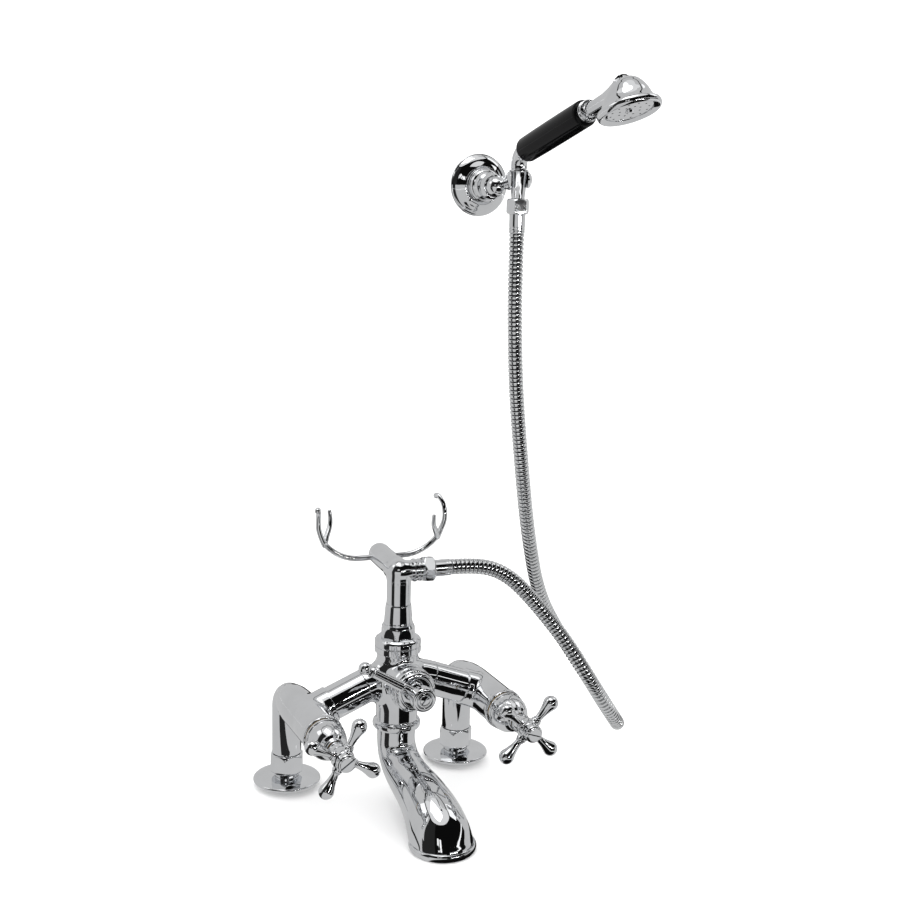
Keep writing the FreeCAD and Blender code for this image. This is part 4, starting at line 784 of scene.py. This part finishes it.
def spoke_outline():
    end_r, neck_r, neck_end, tip = 6.9, 3.3, 15.4, 38.5
    end = tip - end_r
    slope, lift = math.radians(72), math.radians(27)
    join = (end_r * math.sin(slope), end - end_r * math.cos(slope))
    shoulder = (end_r * math.cos(lift), end + end_r * math.sin(lift), 0)
    return [(0, 4), (4.7, 4), (4.7, HUB_R + 0.4), (4.5, HUB_R + 1.5, 0), (3.6, HUB_R + 2.2),
            (4.1, HUB_R + 2.5), (4.1, HUB_R + 3.1), (neck_r, HUB_R + 3.6), (neck_r, neck_end),
            ((neck_r + join[0]) / 2 - 0.6, (neck_end + join[1]) / 2, 0), join, shoulder, (0, tip)]


def cross_handle(name, x, angle, slot_angle):
    body = name + "_handle"
    centre = Vector((x, -HANDLE_Y, VALVE_Z))
    hub = [(0, HUB_BACK), (BELL_R, HUB_BACK), (BELL_R + 0.3, HUB_BACK + 2.4),
           (BELL_R - 0.5, HUB_BACK + 3), (BELL_R - 0.5, HUB_BACK + 4), (HUB_R - 1.4, HANDLE_Y - 7.5),
           (HUB_R, HANDLE_Y, 0), (HUB_R - 1, HUB_FRONT - 1), (HUB_R - 1.8, HUB_FRONT), (0, HUB_FRONT)]
    shells = [lathe(hub, (x, 0, VALVE_Z), FRONT, bevel=0.25)]
    for i in range(4):
        shells.append(lathe(spoke_outline(), centre, polar(angle + 90 * i), bevel=0.25, segments=64))
    piece(name + "_cross", shells, name + "_cross_handle", body=body)
    button = [(0, 0), (8.4, 0), (8.4, 4.6), (7.9, 5.6, 0), (6.9, 6.4), (6.5, 7.2), (0, 7.25)]
    screw = to_object(name + "_button", *lathe(button, (x, -HUB_FRONT, VALVE_Z), FRONT, bevel=0.3))
    cut_front_slot(screw, (x, -HUB_FRONT - 7.5, VALVE_Z), (24, 4.4, 1.7), slot_angle)
    finish_piece(screw, name + "_handle_screw", body=body)


for name, x, angle, slot_angle in (("left", -VALVE_X, 61.8, 35), ("right", VALVE_X, 46.4, -20)):
    bell_cover(name, x)
    cross_handle(name, x, angle, slot_angle)


# Arms and the centre casting with the diverter's barrel

ARM_START = 19.7
SWEEP_R = ARM_SEAM_X / math.sin(math.radians(ARM_ANGLE))
SWEEP_AT = Vector((0, -COLUMN_Y, ARM_Z - SWEEP_R))


def arm(name, side):
    start = Vector((side * VALVE_X, -COLUMN_Y, VALVE_Z)) + arm_direction(side) * ARM_START
    length = (VALVE_X - ARM_SEAM_X) / math.cos(math.radians(ARM_ANGLE)) - ARM_START
    turned(name + "_arm_tube", [
        (11.5, 0), (ARM_R, 0), (ARM_R, length), (11.5, length),
    ], start, arm_direction(side), name + "_arm", bevel=0.3)


def centre_casting():
    column_r, barrel_r, bead_r = 19.5, 18, 20.6
    base, top, ring_h, ring_r = 74, COLUMN_TOP_Z, 8, 22.8
    limit = math.radians(ARM_ANGLE)
    bead = [(56, 0.1), (57, barrel_r), (88.8, barrel_r), (89.6, barrel_r + 0.8), (90.6, bead_r - 0.3),
            (91.6, bead_r), (94.5, bead_r), (96.4, bead_r - 1), (98.2, bead_r - 1), (100, bead_r),
            (102.6, bead_r), (103.6, bead_r - 0.5), (104, bead_r - 1.2)]
    foot = [(base - ring_h, 20.6), (base - ring_h + 0.5, 21.4), (base - ring_h + 1.6, 22.3),
            (base - ring_h + 4, ring_r), (base - 1.6, 22.3), (base - 0.5, 21.4), (base, 20.6)]

    def field(p):
        rel = p - np.array(SWEEP_AT)
        ring = length_of(rel[:, 0], rel[:, 2])
        angle = np.arctan2(rel[:, 0], rel[:, 2])
        ends = (np.abs(angle) - limit) * SWEEP_R
        tube = np.maximum(length_of(ring - SWEEP_R, rel[:, 1]) - ARM_R, ends)
        column = cylinder_field(p, COLUMN, Z_AXIS, column_r, base - 1, top, 0.4)
        barrel = cone_field(p, (0, 0, ARM_Z), FRONT, bead)
        low = np.clip((ARM_Z - p[:, 2]) / 10, 0, 1)
        whole = smooth_min(column, tube, 8 + 7 * low)
        whole = np.where(ends > -0.4, np.maximum(whole, ends), whole)
        whole = smooth_min(whole, barrel, 5)
        return smooth_min(whole, cone_field(p, COLUMN, Z_AXIS, foot), 1.2)

    steps = 24
    rings = []
    for i in range(steps + 1):
        a = -limit + 2 * limit * i / steps
        out = Vector((math.sin(a), 0, math.cos(a)))
        ahead = Vector((math.cos(a), 0, -math.sin(a)))
        rings.append(circle(SWEEP_AT + out * SWEEP_R, ahead, ARM_R, Y_AXIS, 64))
    foot_ring = [(0, base - ring_h), (ring_r - 1.5, base - ring_h), (ring_r, base - 4, 0),
                 (ring_r - 1.5, base), (0, base)]
    shells = [
        skin(rings),
        lathe(rod(column_r, base - 2, top), COLUMN, Z_AXIS),
        lathe(foot_ring, COLUMN, Z_AXIS),
        lathe(filled(bead[1:]), (0, 0, ARM_Z), FRONT),
    ]
    blended("centre_casting", shells, field, 0.9, "centre_body")


arm("left", -1)
arm("right", 1)
centre_casting()


# Column cap, diverter bonnet, lever and cap

LEVER_Y = 113
LEVER_ANGLE = 148.5
CAP_SLOT_ANGLE = 50


def column_cap():
    z, r, h = COLUMN_TOP_Z, 21.8, 14
    turned("column_ring", [
        (10.5, -2), (15, -2), (15, 0), (r, 0), (r, 5.5), (r - 0.9, 6.3, 0), (r, 7.1),
        (r, h - 3), (r - 0.9, h - 1.5), (r - 2.6, h), (10.5, h),
    ], COLUMN + Z_AXIS * z, Z_AXIS, "column_cap", segments=FINE)


def diverter_parts():
    base, front, bead_r = 104, 107.9, 20.6
    turned("diverter_face", [
        (4.28, 96), (14.5, 96), (14.5, base), (bead_r - 1.6, base),
        (bead_r - 2.2, base + 2.2, 0), (13.9, base + 3.6), (10.5, front), (4.28, front),
    ], (0, 0, ARM_Z), FRONT, "diverter_bonnet")
    hub_r, thick = 9.4, 9.6
    back = LEVER_Y - thick / 2
    hub = [(0, back), (hub_r - 1, back), (hub_r, back + 1.2), (hub_r, back + thick), (0, back + thick)]
    ball, ball_r, tip_r, root_r = 62, 5.9, 4.1, 4.7
    collar = ball - ball_r - 1.2
    neck_r = tip_r - 0.6
    outline = [(0, 3), (root_r, 3), (root_r, hub_r + 9), (root_r + 0.3, hub_r + 9.4),
               (root_r + 0.3, hub_r + 10.4), (root_r - 0.1, hub_r + 10.8), (tip_r, collar - 2.4),
               (tip_r - 0.9, collar - 1.2), (tip_r + 0.9, collar - 0.9), (tip_r + 1.3, collar, 0),
               (tip_r + 0.9, collar + 0.9), (neck_r, ball - math.sqrt(ball_r ** 2 - neck_r ** 2)),
               (ball_r, ball, 0), (0, ball + ball_r)]
    stick = lathe(outline, (0, -LEVER_Y, ARM_Z), polar(LEVER_ANGLE), bevel=0.25, segments=72)
    piece("lever", [lathe(hub, (0, 0, ARM_Z), FRONT), stick], "diverter_lever", body="diverter")
    front, r, t = LEVER_Y + thick / 2, 11.6, 10.2
    outline = [(0, 0), (r - 0.6, 0), (r, 0.8), (r, t - 2.4), (r - 0.7, t - 0.7, 0), (r - 2.4, t),
               (8, t), (7.4, t - 1.3), (6.8, t), (5.2, t + 0.1), (4.8, t - 0.7), (4.4, t + 0.1),
               (0, t + 0.4)]
    cap = to_object("lever_cap", *lathe(outline, (0, -front, ARM_Z), FRONT, bevel=0.25))
    cut_front_slot(cap, (0, -front - t - 0.4, ARM_Z), (8.4, 4, 1.6), CAP_SLOT_ANGLE)
    finish_piece(cap, "diverter_cap", body="diverter")


column_cap()
diverter_parts()


# Spout: its sections from the column down to the mouth, each with how far forwards and up it is,
# its radius and its fall in degrees
SPOUT_LINE = [
    (60, 66, 18, 90), (60, 52, 18, 90), (66, 40, 18.6, 60), (80, 31.5, 19.4, 28),
    (100, 27, 20.6, 12), (124, 23.5, 22.6, 10), (146, 17.5, 25.2, 24), (162, 9, 27.6, 48),
    (172, -1, 28.8, 78), (174, -5, 29, 90),
]
SPOUT_WALL = 3
SPOUT_STEPS = 8
MOUTH_Y, MOUTH_Z = SPOUT_LINE[-1][:2]


def spout():
    """Lofted hollow shell whose sections turn from the column down to the mouth."""
    sections = []
    for n, (place, _) in enumerate(smooth_path([row[:3] for row in SPOUT_LINE], SPOUT_STEPS)):
        i = min(n // SPOUT_STEPS, len(SPOUT_LINE) - 2)
        t = n / SPOUT_STEPS - i
        ease = t * t * (3 - 2 * t)
        fall, after = SPOUT_LINE[i][3], SPOUT_LINE[i + 1][3]
        sections.append((*place, fall + (after - fall) * (0.5 * t + 0.5 * ease)))

    def ring(section, shrink):
        y, z, radius, fall = section
        turn = math.radians(fall)
        direction = Vector((0, -math.cos(turn), -math.sin(turn)))
        points = circle((0, -y, z), direction, radius - shrink, X_AXIS, 80)
        return [Vector((p.x, p.y, max(p.z, MOUTH_Z))) for p in points]

    outer = [ring(s, 0) for s in sections]
    inner = [ring(s, SPOUT_WALL) for s in sections][::-1]
    bead_r, inner_r, height = 30.4, 26.2, 6.5
    bead = [(inner_r, 0), (bead_r - 1.6, 0), (bead_r, height / 2, 0), (bead_r - 1.6, height),
            (inner_r, height)]
    shells = [skin(outer + inner, closed=True),
              lathe(bead, (0, -MOUTH_Y, MOUTH_Z), Z_AXIS, segments=FINE),
              lathe([(14, 64), (18, 64), (18, 66), (14, 66)], COLUMN, Z_AXIS)]
    piece("spout_shell", shells, "spout")


spout()


# Riser, horn, cradle

def riser_foot():
    turned("riser_union", [
        (11.4, 8.5), (16.75, 8.5), (16.6, 13.5, 0), (15.6, 18.6), (14.2, 21.5), (11.4, 21.5),
    ], COLUMN + Z_AXIS * (CAP_TOP_Z - 8.5), Z_AXIS, "riser_nut", spin=-115, bevel=0.3,
        across=31, pitch=0.7)
    base, top, r0, r1 = 169, 188.5, 13.7, 12.1
    turned("riser_taper", [
        (11.4, base), (r0, base), (r0, base + 1.4), (r0 - 0.3, base + 2), (r1, top - 1.2),
        (r1 - 0.6, top), (11.4, top),
    ], COLUMN, Z_AXIS, "riser_sleeve")


def riser_stem():
    foot, stem_r, bend_r, horn_r, horn_l, boss_end = 160, 11.3, 13, 10.6, 60, 10.5
    boss_r = stem_r - 1.5
    pivot = COLUMN + HORN_DIR * bend_r + Z_AXIS * (OUTLET_Z - bend_r)
    profile = [(-3, stem_r), (0, stem_r), (10, horn_r), (horn_l - bend_r, horn_r)]

    def field(p):
        stem = cylinder_field(p, COLUMN, Z_AXIS, stem_r, foot, OUTLET_Z - bend_r + 3, 0.4)
        elbow = bend_field(p, pivot, bend_r, -HORN_DIR, stem_r, OUTLET_DIR)
        horn = cone_field(p, STEM_TOP + HORN_DIR * bend_r, HORN_DIR, profile)
        end = ball_field(p, STEM_TOP + HORN_DIR * horn_l, horn_r)
        boss = cylinder_field(p, STEM_TOP, OUTLET_DIR, boss_r, -2, boss_end, 0.5)
        whole = np.minimum(np.minimum(stem, elbow), np.minimum(horn, end))
        whole = smooth_min(whole, ball_field(p, STEM_TOP, stem_r), 2.5)
        return smooth_min(whole, boss, 2.5)

    horn_path = [(STEM_TOP + HORN_DIR * d, HORN_DIR) for d in (bend_r, bend_r + 10, 40, horn_l)]
    shells = [lathe(rod(stem_r, foot, OUTLET_Z - bend_r), COLUMN, Z_AXIS),
              bend(pivot, bend_r, -HORN_DIR, stem_r, OUTLET_DIR),
              limb(horn_path, lambda t: horn_r, Z_AXIS, 64), lathe(globe(stem_r), STEM_TOP, Z_AXIS),
              lathe(rod(boss_r, 0, boss_end), STEM_TOP, OUTLET_DIR)]
    blended("riser_casting", shells, field, 0.7, "riser_stem")


def outlet_nipple():
    n = 9.6
    turned("outlet_nipple", [
        (0, 10), (n, 10), (n, 13), (n + 1.3, 13.4), (n + 1.3, 15.6), (n, 16), (n, 18),
        (n + 1, 18.4), (n + 1, 20.6), (n - 0.6, 21.2), (n - 0.6, NIPPLE_END),
        (0, NIPPLE_END),
    ], STEM_TOP, OUTLET_DIR, bevel=0.25)


YOKE_CENTRE = STEM_TOP + HORN_DIR * 54 - Z_AXIS * 1.1
YOKE_R, YOKE_FLAT, YOKE_HALF, YOKE_RISE = 2.7, 22, 57, 17
# Each claw is two tines from the end of the bar: their points, and their radii along them
LONG_RADII = [2.8, 2.7, 2.6, 2.5, 2.4, 2.3, 2.5, 2.9]
SHORT_RADII = [2.8, 2.7, 2.5, 2.2, 1.9]
RIGHT_CLAW = [
    ([(0, 0, -3), (3.6, 0, 5), (6.6, 0, 13), (7.4, 0.5, 21), (6.4, 3.5, 30), (4, 8.5, 35.5),
      (2.6, 12.5, 35.5)], LONG_RADII),
    ([(0, 0, -3), (-3.5, -5, 4.5), (-7.8, -10.5, 12.5), (-9.4, -15, 22.5)], SHORT_RADII),
]
LEFT_CLAW = [
    ([(0, 0, -3), (-3.4, 0, 5), (-5.9, -0.5, 13), (-6.6, -1.5, 21), (-7.4, -4.5, 29),
      (-9, -9, 34.3), (-10.6, -13, 34.6)], LONG_RADII),
    ([(0, 0, -3), (3.5, 5, 4.5), (7.8, 10.5, 12.5), (9.2, 13.6, 19.5), (8.8, 15.4, 26)], SHORT_RADII),
]


def in_yoke(point):
    return YOKE_CENTRE + OUTLET_DIR * point[0] + HORN_DIR * point[1] + Z_AXIS * point[2]


def bar_point(share, side):
    """A point of the bar: flat in the middle, then an arc up to its end."""
    flat = 0.35
    if share < flat:
        return in_yoke((side * YOKE_FLAT * share / flat, 0, 0))
    reach = YOKE_HALF - YOKE_FLAT
    radius = (reach ** 2 + YOKE_RISE ** 2) / (2 * YOKE_RISE)
    a = math.asin(reach / radius) * (share - flat) / (1 - flat)
    return in_yoke((side * (YOKE_FLAT + radius * math.sin(a)), 0, radius * (1 - math.cos(a))))


def cradle():
    half = 24
    places = [bar_point(abs(i) / half, 1 if i >= 0 else -1) for i in range(-half, half + 1)]
    last = 2 * half
    path = [(place, places[min(i + 1, last)] - places[max(i - 1, 0)]) for i, place in enumerate(places)]
    shells = [limb(path, lambda t: YOKE_R, Z_AXIS)]
    steady = OUTLET_DIR + Y_AXIS * 0.3
    for side, claw in ((1, RIGHT_CLAW), (-1, LEFT_CLAW)):
        end = Vector((side * YOKE_HALF, 0, YOKE_RISE))
        shells.append(lathe(globe(3.3), in_yoke(end), Z_AXIS, segments=48))
        for points, radii in claw:
            moved = [in_yoke((p[0] + end.x, p[1], p[2] + end.z + 1.5)) for p in points]
            knots = [i / (len(radii) - 1) for i in range(len(radii))]
            shells.append(limb(smooth_path(moved, 8),
                               lambda t, k=knots, r=radii: float(np.interp(t, k, r)), steady))
    piece("cradle", shells, "cradle_yoke")


riser_foot()
riser_stem()
outlet_nipple()
cradle()


# Wall flange, boss and holder

def wall_bracket():
    t, flange_r, inner, boss_r = 9, 30.5, 23.5, 16
    turned("wall_rose", [
        (inner, 0), (flange_r - 0.8, 0), (flange_r, 1.2, 0), (flange_r - 0.5, 2.6),
        (flange_r - 1.3, 3), (flange_r - 3.6, 5.6, 0), (inner, 7.6), (21, 9.2, 0),
        (18.9, 10.4), (boss_r + 0.3, 10.4), (boss_r + 0.3, t - 2.5), (inner, t - 2.5),
    ], BRACKET, FRONT, "wall_flange", segments=FINE)
    turned("ball_seat", [
        (0, 4), (13.2, 4), (13.2, 6.4), (boss_r, 7), (boss_r, 11.6), (boss_r + 0.5, 12.1),
        (boss_r + 0.5, 13.2), (boss_r, 13.7), (boss_r, 17.5), (boss_r - 1, 19.5, 0),
        (boss_r - 2.4, 20.4), (12.6, 24), (12.6, 32), (11, 37.5), (9.4, 37.5),
        (8.5, 35.6, 0), (0, 30.4),
    ], BRACKET, FRONT, "bracket_boss", bevel=0.25)


wall_bracket()


# Hand shower

HANDLE_TILT = math.radians(16.7)
HANDLE_DIR = Vector((0, -math.cos(HANDLE_TILT), math.sin(HANDLE_TILT)))
BEND_R = 14
BEND_Z = 602
BEND = TAIL + Z_AXIS * BEND_Z
GRIP_AT = BEND + HANDLE_DIR * BEND_R
GRIP_L = 120
COLLAR_AT = GRIP_AT + HANDLE_DIR * GRIP_L
FACE_TURN = math.radians(22.9)
FACE_LEAN = math.radians(-7.1)
FACE_AXIS = Vector((math.sin(FACE_LEAN), math.cos(FACE_LEAN) * math.sin(FACE_TURN),
                    math.cos(FACE_LEAN) * math.cos(FACE_TURN)))
FACE_SIDE = Y_AXIS.cross(FACE_AXIS).normalized()
FACE_IN = FACE_AXIS.cross(FACE_SIDE)
FACE = Vector((143, -197.5, 638.2))


def handset_elbow():
    base, cone_top, slope, tube_r = 560, 585.5, (8.9 - 7.4) / 15, 7.8
    turn = math.pi / 2 - HANDLE_TILT
    reach = BEND_R * math.tan(turn / 2)
    start = BEND_Z - reach
    outline = [(0, base - 1.8), (7.8, base - 1.8), (7.8, base - 0.1), (7.4 - slope * 10.5, base),
               (8.9, cone_top), (9.4, cone_top + 0.6), (9.4, cone_top + 1.8),
               (tube_r - 0.4, cone_top + 2.3), (tube_r - 0.4, cone_top + 3),
               (tube_r + 0.3, cone_top + 3.4), (tube_r, start), (0, start)]
    shells = [lathe(outline, TAIL, Z_AXIS, bevel=0.2),
              bend(TAIL + Vector((0, -BEND_R, start)), BEND_R, Y_AXIS, tube_r, X_AXIS, turn, 20, 64),
              lathe(rod(tube_r, -0.3, 4.2), BEND + HANDLE_DIR * reach, HANDLE_DIR)]
    piece("handset_elbow", shells, "handset_tail", body="handset")


def grip():
    r, g = 12.2, 5
    arc = g * (1 - math.sqrt(0.5))
    turned("grip_sleeve", [
        (6.1, 0), (r - g, 0), (r - arc, arc, 0), (r, g), (r + 0.25, GRIP_L / 2, 0),
        (r, GRIP_L - g), (r - arc, GRIP_L - arc, 0), (r - g, GRIP_L), (6.1, GRIP_L),
    ], GRIP_AT, HANDLE_DIR, "handset_grip", body="handset", slot="grip_black")
    r = 9.8
    turned("grip_ring", [
        (6.1, 0), (r - 1.6, 0), (r - 1.6, 0.6), (r, 1.2), (r, 2.4), (r - 0.9, 2.9),
        (r - 0.9, 3.8), (r - 0.3, 4.3, 0), (7.5, 6), (6.1, 6),
    ], COLLAR_AT, HANDLE_DIR, "grip_collar", body="handset", bevel=0.2)


handset_elbow()
grip()


# The bell's levels above the face: height, radius, and how far its centre lies inward and aside
BELL = ((7.9, 23.6, 0.8, 0.6), (12.8, 21.9, 2.9, 2), (19.6, 18.6, 2.8, 3.3), (25.6, 14.2, 2.1, 4.1),
        (29.6, 9.6, 1.5, 4.6), (31.8, 4.8, 1.2, 4.9), (32.4, 2.2, 1.1, 5), (32.5, 0.3, 1.1, 5))


def spline(knots, values):
    """A smooth curve through values, with the slope at each knot that of its neighbours."""
    knots, values = np.array(knots), np.array(values, float)
    slopes = np.gradient(values, knots)

    def at(x):
        i = np.clip(np.searchsorted(knots, x) - 1, 0, len(knots) - 2)
        width = knots[i + 1] - knots[i]
        t = (x - knots[i]) / width
        return ((2 * t ** 3 - 3 * t ** 2 + 1) * values[i]
                + (t ** 3 - 2 * t ** 2 + t) * width * slopes[i]
                + (3 * t ** 2 - 2 * t ** 3) * values[i + 1]
                + (t ** 3 - t ** 2) * width * slopes[i + 1])
    return at


def bell():
    neck_r = 5.9
    neck_start = COLLAR_AT + HANDLE_DIR * 6
    length = (FACE + FACE_AXIS * 18 - neck_start).dot(HANDLE_DIR)
    neck = [(0, neck_r + 1.5), (2, neck_r + 0.2), (5, neck_r), (length * 0.45, neck_r + 0.4),
            (length * 0.65, neck_r + 1.9), (length * 0.8, neck_r + 3.5), (length * 0.95, neck_r + 6)]
    knots = [level[0] for level in BELL]
    radius_at, inward_at, aside_at = (spline(knots, [level[k] for level in BELL]) for k in (1, 2, 3))

    def field(p):
        rel = p - np.array(FACE)
        h = rel @ np.array(FACE_AXIS)
        held = np.clip(h, knots[0], knots[-1])
        away = length_of(rel @ np.array(FACE_IN) - inward_at(held),
                         rel @ np.array(FACE_SIDE) - aside_at(held))
        shell = np.maximum((away - radius_at(held)) * 0.8, np.maximum(knots[0] - h, h - knots[-1]))
        return smooth_min(shell, cone_field(p, neck_start, HANDLE_DIR, neck), 3)

    rings = []
    for h in np.linspace(knots[0], knots[-1], 60):
        centre = FACE + FACE_AXIS * h + FACE_IN * float(inward_at(h)) + FACE_SIDE * float(aside_at(h))
        rings.append(circle(centre, FACE_AXIS, max(float(radius_at(h)), 0.3), FACE_SIDE, 64))
    blended("head_bell", [skin(rings), lathe(filled(neck), neck_start, HANDLE_DIR)], field, 0.7,
            "head_shell", body="handset")


HOLE_ROWS = ((9.5, 8), (16.5, 12))


def spray_face():
    ring_r, opening, thick, plate_r, depth = 27.6, 25, 7.9, 20.9, 2.2
    turned("head_bead", [
        (plate_r, depth), (opening, 0.2), (opening + 0.8, 0), (ring_r, 2.8, 0),
        (ring_r - 1, thick - 1.3), (ring_r - 3, thick), (plate_r, thick),
    ], FACE, FACE_AXIS, "face_ring", body="handset", bevel=0.25, segments=FINE)
    outline = [(0, -1.6), (2.4, -1.4), (3.4, -0.2), (3.8, 0.4), (plate_r - 2, 0),
               (plate_r - 0.2, 0.6), (plate_r - 0.2, 2.6), (0, 2.6)]
    shell = lathe(outline, FACE + FACE_AXIS * depth, FACE_AXIS, bevel=0.2, segments=FINE)
    plate = to_object("head_plate", *shell)
    holes = []
    for radius, count in HOLE_ROWS:
        for i in range(count):
            turn = math.tau * i / count
            out = FACE_SIDE * math.cos(turn) + FACE_IN * math.sin(turn)
            holes.append(lathe(rod(0.9, -1, 7), FACE + out * radius, FACE_AXIS, segments=16))
    cut(plate, to_object("holes", *joined(holes)))
    finish_piece(plate, "spray_plate", body="handset")


def holder():
    ball_r, neck_r, band_r, ring_r, ring_h, ring_z = 9.6, 4.6, 7, 11, 15, 578
    ring_at = TAIL + Z_AXIS * ring_z
    toward_ring = (ring_at - BALL).normalized()
    reach = (ring_at - BALL).length - ring_r + 2.5
    flare = ball_r - 1.6
    base = ring_at - Z_AXIS * (ring_h / 2)
    barrel = [(0, 10.2), (0.5, 10.9), (1, 11.2), (3, 12.2), (5, 12.8), (7.5, 13.07), (10, 12.8),
              (12, 12.2), (14, 11), (14.5, 10.6), (ring_h, 10.2)]
    band = [(0, neck_r), (flare, neck_r), (flare + 4, band_r), (reach, band_r)]

    def field(p):
        neck = cone_field(p, BALL, toward_ring, band)
        ring = cone_field(p, base, Z_AXIS, barrel)
        return smooth_min(smooth_min(ball_field(p, BALL, ball_r), neck, 0.8), ring, 1.2)

    shells = [lathe(globe(ball_r), BALL, Z_AXIS), lathe(filled(band), BALL, toward_ring),
              lathe(filled(barrel), base, Z_AXIS)]
    obj = blended("holder_ring", shells, field, 0.6, body="holder")
    top_r, low_r, past, seat_gap = 8.9, 7.4, 4, 0.3
    slope = (top_r - low_r) / ring_h
    low = low_r + seat_gap
    seat = [(0, -past), (low - past * slope, -past), (low + slope * (ring_h + past), ring_h + past),
            (0, ring_h + past)]
    cut(obj, to_object("seat", *lathe(seat, base, Z_AXIS)))
    turn = Quaternion(Z_AXIS, math.radians(-20))
    middle = base + turn @ Vector((0, -1.5 * ring_r, ring_h / 2))
    cut_slot(obj, middle, (16.4, 3 * ring_r, ring_h + 10), turn)
    finish_piece(obj, "holder_arm", body="holder")


bell()
spray_face()
holder()


# Floor, light and surroundings

def floor():
    half = 30
    mesh = bpy.data.meshes.new("floor")
    z = cad_low.z - 0.0005
    corners = [(-half, -half, z), (half, -half, z), (half, half, z), (-half, half, z)]
    mesh.from_pydata(corners, [], [(0, 1, 2, 3)])
    material, _ = surfaced("floor_paint", (0.92, 0.92, 0.92), 0, (0.75, 0.85), 3, 50, 0.00001,
                           shade=0.99)
    mesh.materials.append(material)
    new_object("floor", mesh)


# The studio's middle, in metres, and the brightness of its shades
CENTRE = Vector((60, -60, 250)) * MM
SHADES = {"black": 0.004, "dark": 0.02, "light": 0.56, "bright": 0.8, "white": 1.2}


def shade_at(right, up):
    """The studio's shade in a direction: degrees to the right of the camera and above the floor."""
    behind = abs(right) > 112
    if up > 56 and not (behind and up < 72):
        return "bright"
    if 34 < up < 54 and (-98 < right < -70 or 102 < right < 130):
        return "white"
    if behind:
        return "black" if 58 < up < 61 else "light"
    if up > 53:
        return "black"
    if up < 6:
        return level_shade(right)
    if right < -64:
        return "light"
    if right < -24:
        return "dark"
    if right < 8:
        window = 22 < up < 30 and (-16 < right < -10 or -6 < right < 0)
        return "white" if window else "black"
    return "white" if 15 < up < 18 and right > 26 else "black"


def level_shade(right):
    """The shade all round at the studio's foot."""
    if -70 < right < -38:
        return "dark"
    return "black" if 16 < right < 76 else "light"


def floor_shade(right, distance):
    """The shade of the floor in a direction from the mixer, at a distance in metres."""
    if distance < 0.09:
        return "light"
    if abs(right) > (150 if distance < 0.4 else 160):
        return "black"
    if 0.27 < distance < 0.4 and right > 0:
        return "light"
    return level_shade(right)


def glow(name, level):
    material = bpy.data.materials.new(name)
    material.use_nodes = True
    nodes = material.node_tree.nodes
    nodes.remove(nodes["Principled BSDF"])
    emission = add_node(nodes, "Emission", Color=(1, 1, 1, 1), Strength=level)
    surface = nodes["Material Output"].inputs["Surface"]
    material.node_tree.links.new(emission.outputs["Emission"], surface)
    return material


GLOWS = [glow("studio_" + name, level) for name, level in SHADES.items()]


def reflected_only(name, vertices, faces, shades):
    """A part of the studio that only reflections show."""
    mesh = bpy.data.meshes.new(name)
    mesh.from_pydata(vertices, [], faces)
    for material in GLOWS:
        mesh.materials.append(material)
    for polygon, shade in zip(mesh.polygons, shades):
        polygon.material_index = list(SHADES).index(shade)
    obj = new_object(name, mesh)
    obj.visible_camera = False
    obj.visible_diffuse = False
    obj.visible_shadow = False
    obj.visible_transmission = False


CELL = 3


def studio_dome():
    """Walls and ceiling of the studio, in cells of a few degrees."""
    reach, low = 2.6, -6
    across, tall = 360 // CELL, (90 - low) // CELL
    vertices = [CENTRE + toward(-180 + i * CELL, low + k * CELL) * reach
                for k in range(tall) for i in range(across)]
    top = len(vertices)
    vertices.append(CENTRE + Z_AXIS * reach)
    faces, shades = [], []
    for k in range(tall):
        for i in range(across):
            n = (i + 1) % across
            a, b = k * across, (k + 1) * across
            faces.append((a + i, a + n, top) if k == tall - 1 else (a + i, a + n, b + n, b + i))
            shades.append(shade_at(-180 + (i + 0.5) * CELL, low + (k + 0.5) * CELL))
    reflected_only("studio_dome", vertices, faces, shades)


# The cloths' rings on the floor, in metres from the mixer
CLOTH_RINGS = ((0.005, 0.09), (0.09, 0.27), (0.27, 0.4), (0.4, 2.4))


def studio_cloths():
    """Cloths on the floor, in rings and in sectors like the wall above them."""
    z = cad_low.z - 0.0003
    middle = Vector((0, -0.06, 0))
    vertices, faces, shades = [], [], []
    for near, far in CLOTH_RINGS:
        for i in range(360 // CELL):
            right = -180 + (i + 0.5) * CELL
            start = len(vertices)
            for distance in (near, far):
                for edge in (right - CELL / 2, right + CELL / 2):
                    point = middle + toward(edge, 0) * distance
                    vertices.append((point.x, point.y, z))
            faces.append((start, start + 1, start + 3, start + 2))
            shades.append(floor_shade(right, (near + far) / 2))
    reflected_only("studio_cloth", vertices, faces, shades)


def area_light(name, at, aim, size, power):
    data = bpy.data.lights.new(name, "AREA")
    data.shape = "RECTANGLE"
    data.size, data.size_y = size
    data.energy = power
    obj = new_object(name, data)
    obj.location = at
    obj.rotation_mode = "QUATERNION"
    obj.rotation_quaternion = (Vector(aim) - Vector(at)).to_track_quat("-Z", "Y")
    obj.visible_camera = False


def studio():
    world = bpy.data.worlds.new("studio")
    bpy.context.scene.world = world
    world.use_nodes = True
    background = world.node_tree.nodes["Background"]
    background.inputs["Color"].default_value = (1, 1, 1, 1)
    background.inputs["Strength"].default_value = 1.6
    area_light("overhead", CENTRE + Vector((-0.3, -0.2, 2.2)), CENTRE, (1.2, 0.9), 6)
    area_light("strip", CENTRE + toward(40, 6) * 1.8, CENTRE, (0.9, 0.03), 2)
    studio_dome()
    studio_cloths()


floor()
studio()
bpy.context.scene.view_settings.view_transform = "Standard"
